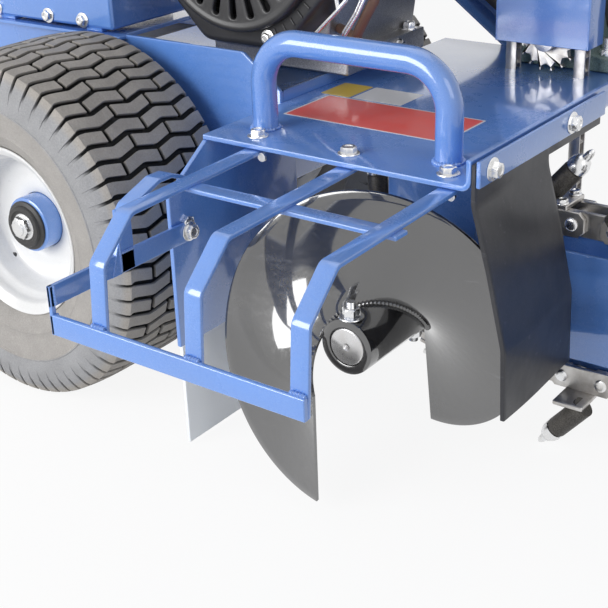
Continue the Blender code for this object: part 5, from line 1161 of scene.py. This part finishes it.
def digging_chain():
    """Side bars with cut corners, rivets, bushes, and a leaning tooth on every other link."""
    place, way, away = link_places(LINK_COUNT, WHEEL_TEETH, LINK_PITCH, CHAIN_RADIUS,
                                   HEAD + ALONG_Y * CHAIN_Y)
    bars, rivets, saddles, holders, bits, bolts = [], [], [], [], [], []
    back, front = -LINK_END, LINK_PITCH + LINK_END
    back_in, front_in = -LINK_CORNER, LINK_PITCH + LINK_CORNER
    outline = [(back, -LINK_LOW), (back_in, -LINK_HIGH), (front_in, -LINK_HIGH), (front, -LINK_LOW),
               (front, LINK_LOW), (front_in, LINK_HIGH), (back_in, LINK_HIGH), (back, LINK_LOW)]
    bush = [(0.0, -BUSH_LONG / 2), (BUSH_RADIUS, -BUSH_LONG / 2), (BUSH_RADIUS, BUSH_LONG / 2),
            (0.0, BUSH_LONG / 2)]
    roller = turned(bush, (0, 0, 0), "Y", 20)
    head = [(0.0080, 0.0), (0.0079, 0.0012), (0.0066, 0.0021), (0.0035, 0.0025)]
    holder = [(0.00001, 0.0), (0.0130, 0.0), (0.0130, 0.0500), (0.0122, 0.0520), (0.0112, 0.0522),
              (0.0112, 0.0545), (0.00001, 0.0545)]
    collar = [(0.0110, 0.0535), (0.0127, 0.0540), (0.0129, 0.0600), (0.0120, 0.0640), (0.0092, 0.0695),
              (0.0060, 0.0715), (0.0051, 0.0718), (0.0050, 0.0775), (0.0042, 0.0815), (0.0024, 0.0848),
              (0.0009, 0.0860)]
    for i in range(len(place)):
        spot = (place[i], way[i], away[i])
        low = LINK_GAP if i % 2 else LINK_GAP + LINK_PLATE - 0.0002
        for side in (-1, 1):
            limits = sorted((side * low, side * (low + LINK_PLATE - 0.0004)))
            bars.append(placed(slab(outline, limits[0], limits[1], "Y", 0.0009), *spot))
            if i % 2 == 0:
                for x in (0.0, LINK_PITCH):
                    foot = np.array((x, side * (low + LINK_PLATE - 0.0006), 0))
                    rivets.append(placed(stacked(even_rows(head, 18), foot, ALONG_Y * side), *spot))
        bars.append(placed(roller, *spot))
        if i % 2:
            continue
        offset = TOOTH_PLACES[i // 2 % 4]
        middle = LINK_PITCH / 2
        low_corner = (middle - SADDLE_LONG / 2, min(-SADDLE_HALF, offset - TOOTH_BASE), SADDLE_LOW)
        high_corner = (middle + SADDLE_LONG / 2, max(SADDLE_HALF, offset + TOOTH_BASE), SADDLE_TOP)
        saddles.append(placed(plank(low_corner, high_corner, "Y", 0.0016, 0.0012), *spot))
        base = np.array((middle - 0.016, offset, 0.020))
        holders.append(placed(stacked(even_rows(holder, 28), base, TOOTH_LEAN), *spot))
        bits.append(placed(stacked(even_rows(collar, 28), base, TOOTH_LEAN), *spot))
        stray = 0.010 if abs(offset) < 0.02 else 0.0
        for y in (-TOOTH_BOLT_Y, TOOTH_BOLT_Y):
            foot = np.array((middle + stray, y, 0.0210))
            bolts.append(placed(bolt(foot, ALONG_Z, 0.0120, 0.0060, 0.0078, 0.3 * i + y), *spot))
    piece("chain_side_bars", bars, CHAIN, BOOM, ("digging_chain",))
    piece("chain_rivets", rivets, ZINC, BOOM)
    piece("tooth_saddles", saddles, CHAIN, BOOM)
    piece("tooth_holders", holders, HOLDER, BOOM)
    piece("tooth_bits", bits, ZINC, BOOM)
    piece("tooth_bolts", bolts, ZINC, BOOM)


def boom():
    """Boom cheeks and rails with soft rims, the nose wheel and a nut on its axle."""
    soft_edged("boom", BLUE, 0.0015)
    soft_edged("nose_sprocket", IRON, 0.0008)
    nose = HEAD + np.array((LINK_COUNT * LINK_PITCH, CHAIN_Y, 0))
    heads = [bolt(nose + ALONG_Y * side * 0.0322, ALONG_Y * side, 0.0300, 0.0058, 0.0190, 0.2)
             for side in (-1, 1)]
    piece("nose_axle_nuts", heads, ZINC, BOOM)


auger()
headshaft()
digging_chain()
boom()


# Engine

CRANK = np.array((-0.149, 0.0, 0.207))
SLOT_COUNT = 24
SLOT_OUT, SLOT_IN = 0.1080, 0.0640
SLOT_WIDE, SLOT_NARROW = 0.0052, 0.0034
GRILLE_OUT, GRILLE_IN = 0.1165, 0.052
GRILLE_THICK = 0.0075
COVER_Y = 0.158
BLOWER_Y = 0.1722
BLOWER_HALF = 0.149
BLOWER_MOUTH = 0.112
BLOWER_DEEP = 0.0592
RIB_COUNT = 9


def closed_cell(far, near):
    """Two facing arcs joined by straight sides of seven points each."""
    there = np.linspace(far[-1], near[0], 9)[1:-1]
    return np.concatenate((far, there, near, np.linspace(near[-1], far[0], 9)[1:-1]))


def fan_cover():
    """Starter cover with 24 real slots. Each sector is a grid of rings that change from the
    slot's round-ended outline to the sector's edge: point = slot + share (edge - slot)."""
    half = math.pi / SLOT_COUNT
    steps = np.linspace(-half, half, 7)
    cell = closed_cell(arc(GRILLE_OUT, steps), arc(GRILLE_IN, steps[::-1]))
    bend = np.linspace(-math.pi / 2, math.pi / 2, 7)
    slot = closed_cell(arc(SLOT_WIDE, bend, SLOT_OUT), arc(SLOT_NARROW, bend + math.pi, SLOT_IN))
    rows = np.array([(1.0, 0.0075), (0.4, 0.0075), (0.04, 0.0075), (0.0, 0.0068), (0.0, 0.0022),
                     (0.05, 0.0010), (0.13, 0.0003), (0.24, 0.0), (0.6, 0.0), (1.0, 0.0)])
    ring = slot + rows[:, :1, None] * (cell - slot)
    deep = rows[:, 1]
    centre = CRANK + ALONG_Y * COVER_Y
    shapes = []
    for turn in np.arange(SLOT_COUNT) * TAU / SLOT_COUNT:
        x = ring[..., 0] * math.cos(turn) - ring[..., 1] * math.sin(turn)
        z = ring[..., 0] * math.sin(turn) + ring[..., 1] * math.cos(turn)
        y = np.broadcast_to(deep[:, None], x.shape)
        shapes.append(grid(np.stack((x, y, z), -1) + centre, False, True))
    boss = [(0.0, -0.0060), (0.0200, -0.0060), (0.0245, -0.0052), (0.0280, -0.0010), (0.0300, 0.0),
            (GRILLE_IN, 0.0)]
    skirt = [(GRILLE_OUT, 0.0), (0.1185, -0.0003), (0.1205, -0.0012), (0.1240, -0.0016), (0.1268, -0.0006),
             (0.1284, 0.0018), (0.1290, 0.0050), (0.1290, 0.0137), (0.1250, 0.0137),
             (0.1250, GRILLE_THICK), (GRILLE_OUT, GRILLE_THICK)]
    back = [(GRILLE_IN, GRILLE_THICK), (0.0, GRILLE_THICK)]
    shapes += [turned(profile, centre, "Y", 6 * SLOT_COUNT, False, -half)
               for profile in (boss, skirt, back)]
    piece("fan_cover_slotted", shapes, FAN_PLASTIC, ROOT, ("fan_cover",), 40)


def soft_polygon(half, sides, angles, power):
    """Radius by angle of a polygon with soft corners: half / (sum of max(cos(u - k), 0) to the
    power p) to the power 1 / p, over the directions k of its flats."""
    flats = np.arange(sides) * TAU / sides
    total = np.sum(np.clip(np.cos(angles[:, None] - flats), 0, 1) ** power, 1)
    return half / total ** (1 / power)


def blower():
    """Hollow eight-sided housing behind the cover, with cooling ribs and its bolts."""
    angles = np.arange(192) * TAU / 192
    shape = soft_polygon(BLOWER_HALF, 8, angles, 46)
    mouth = np.full(len(angles), BLOWER_MOUTH)
    rows = [(shape - 0.0020, BLOWER_DEEP), (shape, 0.0552), (shape, 0.0070), (shape - 0.0014, 0.0032),
            (shape - 0.0045, 0.0008), (shape - 0.0085, 0.0), (mouth + 0.0020, 0.0), (mouth, 0.0018),
            (mouth, 0.0040), (shape - 0.0100, 0.0050), (shape - 0.0060, 0.0100),
            (shape - 0.0060, BLOWER_DEEP - 0.0032), (mouth * 0.14, BLOWER_DEEP - 0.0032),
            (mouth * 0.14, BLOWER_DEEP)]
    points = np.stack([laid(r * np.cos(angles), r * np.sin(angles), np.full(len(angles), BLOWER_Y + y), "Y")
                       for r, y in rows])
    shapes = [grid(points + CRANK, True, True)]
    face = CRANK + ALONG_Y * BLOWER_Y
    for angle in np.radians(-14 - 6.5 * np.arange(RIB_COUNT)):
        way = spoke(angle)
        foot = face - ALONG_Y * 0.0006
        shapes.append(rod(foot + way * 0.1325, foot + way * 0.1430, 0.0013, 10, 0.0004))
    piece("blower_shell", shapes, FAN_PLASTIC, ROOT, ("blower_housing",), 40)
    heads = [bolt((-0.105, BLOWER_Y, 0.073), -ALONG_Y, 0.0120, 0.0080, 0.0105, 0.3)]
    for angle in np.radians((22, 158)):
        heads.append(bolt(face + 0.140 * spoke(angle), -ALONG_Y, 0.0100, 0.0065, 0.0085, angle))
    piece("blower_bolts", heads, ZINC, ROOT)


def engine_details():
    """Soft-edged castings, foot bolts, the bent linkage rods and the fuel hose."""
    for node, material, edge, segments in (
            ("crankcase", ALUMINIUM, 0.0030, 3), ("cylinder", ALUMINIUM, 0.0010, 2),
            ("muffler", DARK_STEEL, 0.0020, 3), ("air_cleaner", PLASTIC, 0.0030, 3),
            ("fuel_tank", PLASTIC, 0.0030, 3), ("cooling_fan", FAN_PLASTIC, 0.0005, 2),
            ("crankshaft", BRIGHT, 0.0008, 2), ("engine_pulley", IRON, 0.0008, 2)):
        soft_edged(node, material, edge, segments)
    heads = [bolt((x, y, 0.0420), ALONG_Z, 0.0150, 0.0105, 0.0115, x)
             for x in (-0.252, -0.050) for y in (0.275, 0.415)]
    heads += [bolt((-0.0400, y, 0.0290), ALONG_X, 0.0140, 0.0085, 0.0105, y * 9)
              for y in (0.300, 0.372)]
    piece("engine_foot_bolts", heads, ZINC, ROOT)
    routes = ([(0.020, 0.190, 0.205), (0.019, 0.166, 0.132), (0.007, 0.165, 0.119), (-0.010, 0.166, 0.104),
               (-0.030, 0.168, 0.086), (-0.052, 0.178, 0.066)],
              [(-0.010, 0.166, 0.190), (0.005, 0.165, 0.131), (0.007, 0.165, 0.121)],
              [(0.062, 0.200, 0.240), (0.043, 0.167, 0.134), (0.035, 0.165, 0.117), (0.014, 0.167, 0.089),
               (0.000, 0.190, 0.062)],
              [(0.056, 0.205, 0.242), (0.037, 0.172, 0.136), (0.029, 0.170, 0.118), (0.008, 0.172, 0.090),
               (-0.006, 0.195, 0.063)])
    rods = [tube(filleted(route, 0.012, 5), radius, 14)
            for route, radius in zip(routes, (0.0028, 0.0028, 0.0021, 0.0021))]
    piece("linkage_rods", rods, ZINC, ROOT)
    hose = [(0.030, 0.262, 0.380), (0.060, 0.215, 0.300), (0.060, 0.190, 0.200), (0.048, 0.182, 0.132),
            (0.037, 0.182, 0.115), (0.019, 0.186, 0.087), (-0.010, 0.230, 0.070), (-0.052, 0.252, 0.075)]
    piece("fuel_hose", [tube(filleted(hose, 0.030, 7), 0.0062, 18)], HOSE, ROOT)
    grips = 0.0310 + 0.0010 * np.cos(12 * np.arange(96) * TAU / 96)
    rows = [(grips - 0.0020, 0.0), (grips, 0.0015), (grips, 0.0150), (grips - 0.0018, 0.0178),
            (np.full(96, 0.0250), 0.0190), (np.full(96, 0.0100), 0.0186)]
    cap = stacked(rows, (-0.054, 0.338, 0.4706), ALONG_Z)
    piece("fuel_cap_ribbed", [cap], PLASTIC, "fuel_cap_body", ("fuel_cap",))


fan_cover()
blower()
engine_details()


# Drive, frame and controls

COVER_WALL = 0.003
TANK_FACE_Y = 0.1398
BAR_RADIUS = 0.016
BAR_FOOT_X = -0.7465
GRIP_RADIUS = 0.0205
GRIP_RIBS = 20
LEVER_WAY = np.array((0.3896, 0, 0.9210))
LEVER_PIVOT_X, LEVER_PIVOT_Z = -0.9402, 0.5088
FILM_LOW = 0.00005


def jackshaft():
    """Folded cover whose lower edge clears the deck, bearing blocks, pulleys, chain and belt."""
    hull = [(0.080, 0.040), (0.080, 0.130), (0.110, 0.160), (0.182, 0.160), (0.212, 0.130), (0.212, 0.040)]
    fold = rounded_section(0.045, COVER_WALL, 0.0010) + (0.4425, COVER_WALL / 2)
    path = filleted([(x, 0, z) for x, z in hull], FOLD_RADIUS, 5)
    cheek = [(x + math.copysign(0.0012, HEAD[0] - x), z) for x, z in hull]
    shapes = [carried(fold, path, ALONG_Y, edge=0.0007)]
    shapes += [slab(cheek, low, low + COVER_WALL, "Y", 0.0007) for low in (0.4204, 0.4616)]
    piece("jackshaft_cover_folded", shapes, BLUE, ROOT, ("jackshaft_cover",))
    for node, material, edge in (("jackshaft_sprocket", CHAIN, 0.0006), ("roller_chain", CHAIN, 0.0005),
                                 ("jackshaft", BRIGHT, 0.0008), ("driven_pulley", IRON, 0.0010),
                                 ("drive_belt", BELT, 0.0010), ("belt_guard", BLUE, 0.0016)):
        soft_edged(node, material, edge)
    studs = []
    for node in ("inner_pillow_block", "outer_pillow_block"):
        soft_edged(node, BEARING_GREEN, 0.0022, 3)
        low, high = in_deck(node)
        for x in (0.085, 0.207):
            spot = np.array((x, (low[1] + high[1]) / 2, 0.0160))
            studs.append(bolt(spot, ALONG_Z, 0.0170, 0.0110, 0.0125, x))
            studs.append(thread(spot + ALONG_Z * 0.010, ALONG_Z, 0.0058, 0.016))
    piece("bearing_block_studs", studs, ZINC, ROOT)


def frame_parts():
    """Chassis, gear case, casters, ballast and oil tank with soft rims, and their bolts."""
    for node, material, edge in (("chassis", BLUE, 0.0014), ("transaxle", ALUMINIUM, 0.0016),
                                 ("counterweight", BALLAST, 0.0030), ("reservoir", BLUE, 0.0014)):
        soft_edged(node, material, edge)
    for side in ("right", "left"):
        soft_edged(side + "_caster_fork", BLUE, 0.0010)
        soft_edged(side + "_caster_wheel", BELT, 0.0016, 3)
    low, high = in_deck("reservoir")
    heads = [bolt((x, low[1] + 0.0052, 0.2360), ALONG_Z, 0.0080, 0.0045, 0.0060, x * 20)
             for x in np.linspace(low[0] + 0.012, high[0] - 0.012, 5)]
    heads += [bolt((x, TANK_FACE_Y, 0.0720), -ALONG_Y, 0.0130, 0.0075, 0.0105, x * 9)
              for x in (-0.575, -0.468, -0.400)]
    piece("tank_bolts", heads, ZINC, ROOT)


def handlebar():
    """Long bent tube with moulded ribbed grips, and the console."""
    low, high = in_deck("handlebar")
    legs = [[(BAR_FOOT_X, y, 0.0003), (BAR_FOOT_X, y, 0.067), (-1.060, y, 0.560), (-1.210, y, 0.592)]
            for y in (low[1] + BAR_RADIUS, high[1] - BAR_RADIUS)]
    route = filleted(legs[0] + legs[1][::-1], [0.0, 0.060, 0.080, 0.055, 0.055, 0.080, 0.060, 0.0], 14)
    piece("handlebar_tube", [tube(route, BAR_RADIUS, 32)], BLUE, ROOT, ("handlebar",), 50)
    for side in ("right", "left"):
        low, high = in_deck(side + "_grip")
        middle = (low + high) / 2
        length = high[1] - low[1]
        places = np.linspace(0, 1, 121)
        swell = GRIP_RADIUS + 0.0008 * np.cos(places * TAU * GRIP_RIBS) * (np.abs(places - 0.5) < 0.44)
        swell[[0, -1]] = GRIP_RADIUS - 0.0020
        bore = BAR_RADIUS + 0.0002
        profile = [(bore, low[1]), *zip(swell, low[1] + places * length), (bore, high[1])]
        sleeve = turned(profile, (middle[0], 0, middle[2]), "Y", 40, True)
        piece(side + "_grip_ribbed", [sleeve], GRIP, ROOT, (side + "_grip",), 50)
    soft_edged("control_console", BLUE, 0.0020, 3)


def levers():
    """Ball, stem and knob of each lever, turned about the lever's own direction."""
    profile = [(0.0020, -0.0119), (0.0090, -0.0085), (0.0118, -0.0030), (0.0118, 0.0025), (0.0085, 0.0085),
               (0.0050, 0.0110), (0.0048, 0.1000), (0.0090, 0.1005), (0.0125, 0.1040), (0.0130, 0.1120),
               (0.0122, 0.1260), (0.0095, 0.1330), (0.0040, 0.1348)]
    for name in ("clutch", "travel", "throttle"):
        low, high = in_deck(name + "_lever")
        pivot = (LEVER_PIVOT_X, (low[1] + high[1]) / 2, LEVER_PIVOT_Z)
        shape = stacked(even_rows(profile, 28), pivot, LEVER_WAY)
        piece(name + "_lever_turned", [shape], PLASTIC, name + "_lever_arm", (name + "_lever",), 40)


def labels():
    """Plain patches of film, a little above the paint, where the labels are."""
    for name, low, high, material, top in (
            ("red_label_border", (-0.041, 0.113), (0.184, 0.209), LABEL_WHITE, 0.0002),
            ("red_label", (-0.0385, 0.1155), (0.1815, 0.2065), LABEL_RED, 0.0003),
            ("pale_label", (-0.008, 0.212), (0.064, 0.268), LABEL_WHITE, 0.0002),
            ("yellow_label", (-0.056, 0.212), (-0.012, 0.268), LABEL_YELLOW, 0.0002)):
        film = slab(rounded_ring(low, high, 0.002, 4), FILM_LOW, top, "Z", 0.00002)
        piece(name, [film], material, ROOT)


jackshaft()
frame_parts()
handlebar()
levers()
labels()


# Stage

FLOOR_HALF = 60
FLOOR_TONE = (0.86, 0.86, 0.86, 1.0)
FLOOR_SEEN_AS_WHITE = 0.90
SKY_LIGHT = (0.30, 0.31, 0.33)
WHITE = (1.0, 1.0, 1.0)
CAMERA_AZIMUTH = math.radians(37.28)
CAMERA_HEIGHT = math.radians(25.24)
CAMERA_ROLL = math.radians(-2.11)
CAMERA_PLACE = (0.8318, -1.0053, 0.4138)
LENS = 71.53
SENSOR = 36.0


def area_light(name, place, aim, watts, size, high):
    """An oblong area lamp aimed at a point, both in the deck's frame."""
    data = bpy.data.lights.new(name, "AREA")
    data.shape = "RECTANGLE"
    data.size = size
    data.size_y = high
    data.energy = watts
    lamp = bpy.data.objects.new(name, data)
    bpy.context.scene.collection.objects.link(lamp)
    lamp.location = Vector(place) + Vector(ORIGIN)
    lamp.rotation_euler = (Vector(aim) - Vector(place)).to_track_quat("-Z", "Y").to_euler()


def seen_directly(tree):
    """1 for camera, mirror and see-through rays, 0 for the rays that light the object."""
    path = add(tree, "ShaderNodeLightPath")
    total = calc(tree, "ADD", path.outputs["Is Camera Ray"], path.outputs["Is Glossy Ray"])
    return calc(tree, "MINIMUM", calc(tree, "ADD", total, path.outputs["Is Transmission Ray"]), 1.0)


def studio():
    """Pale floor that keeps the shadow, white surroundings and three softboxes."""
    world = bpy.data.worlds.new("studio")
    bpy.context.scene.world = world
    world.use_nodes = True
    tree = world.node_tree
    back = tree.nodes["Background"]
    tree.links.new(blended(tree, seen_directly(tree), SKY_LIGHT, WHITE), back.inputs["Color"])

    paper = bpy.data.materials.new("studio_floor")
    paper.use_nodes = True
    tree = paper.node_tree
    shader = tree.nodes["Principled BSDF"]
    shader.inputs["Base Color"].default_value = FLOOR_TONE
    shader.inputs["Roughness"].default_value = 0.9
    glow = add(tree, "ShaderNodeEmission", {"Color": (*WHITE, 1.0)}).outputs[0]
    mixer = tree.nodes.new("ShaderNodeMixShader")
    tree.links.new(calc(tree, "MULTIPLY", seen_directly(tree), FLOOR_SEEN_AS_WHITE), mixer.inputs[0])
    tree.links.new(shader.outputs[0], mixer.inputs[1])
    tree.links.new(glow, mixer.inputs[2])
    tree.links.new(mixer.outputs[0], tree.nodes["Material Output"].inputs["Surface"])
    mesh = bpy.data.meshes.new("floor")
    corners = ((-1, -1), (1, -1), (1, 1), (-1, 1))
    mesh.from_pydata([(x * FLOOR_HALF, y * FLOOR_HALF, 0.0) for x, y in corners], [], [(0, 1, 2, 3)])
    mesh.materials.append(paper)
    floor = bpy.data.objects.new("floor", mesh)
    bpy.context.scene.collection.objects.link(floor)

    area_light("near_softbox", (-1.1, -2.6, 1.0), (0.0, 0.1, -0.1), 80.0, 2.2, 1.7)
    area_light("front_fill", (2.9, -0.9, 1.5), (0.1, 0.2, 0.0), 16.0, 1.6, 1.8)
    area_light("top_light", (-0.3, 0.6, 2.6), (0.0, 0.1, 0.0), 9.0, 2.0, 2.0)


def photo_camera():
    """The camera that was solved from the machine's straight edges."""
    level = Vector((math.cos(CAMERA_AZIMUTH), math.sin(CAMERA_AZIMUTH), 0))
    inwards = Vector((-level.y, level.x, 0)) * math.cos(CAMERA_HEIGHT)
    ahead = inwards - Vector((0, 0, math.sin(CAMERA_HEIGHT)))
    up = level.cross(ahead)
    right = level * math.cos(CAMERA_ROLL) + up * math.sin(CAMERA_ROLL)
    above = up * math.cos(CAMERA_ROLL) - level * math.sin(CAMERA_ROLL)
    data = bpy.data.cameras.new("camera")
    data.lens = LENS
    data.sensor_width = SENSOR
    camera = bpy.data.objects.new("camera", data)
    turn = Matrix((right, above, -ahead)).transposed().to_4x4()
    camera.matrix_world = Matrix.Translation(Vector(CAMERA_PLACE) + Vector(ORIGIN)) @ turn
    bpy.context.scene.collection.objects.link(camera)
    bpy.context.scene.camera = camera


studio()
photo_camera()
bpy.context.scene.view_settings.view_transform = "Standard"
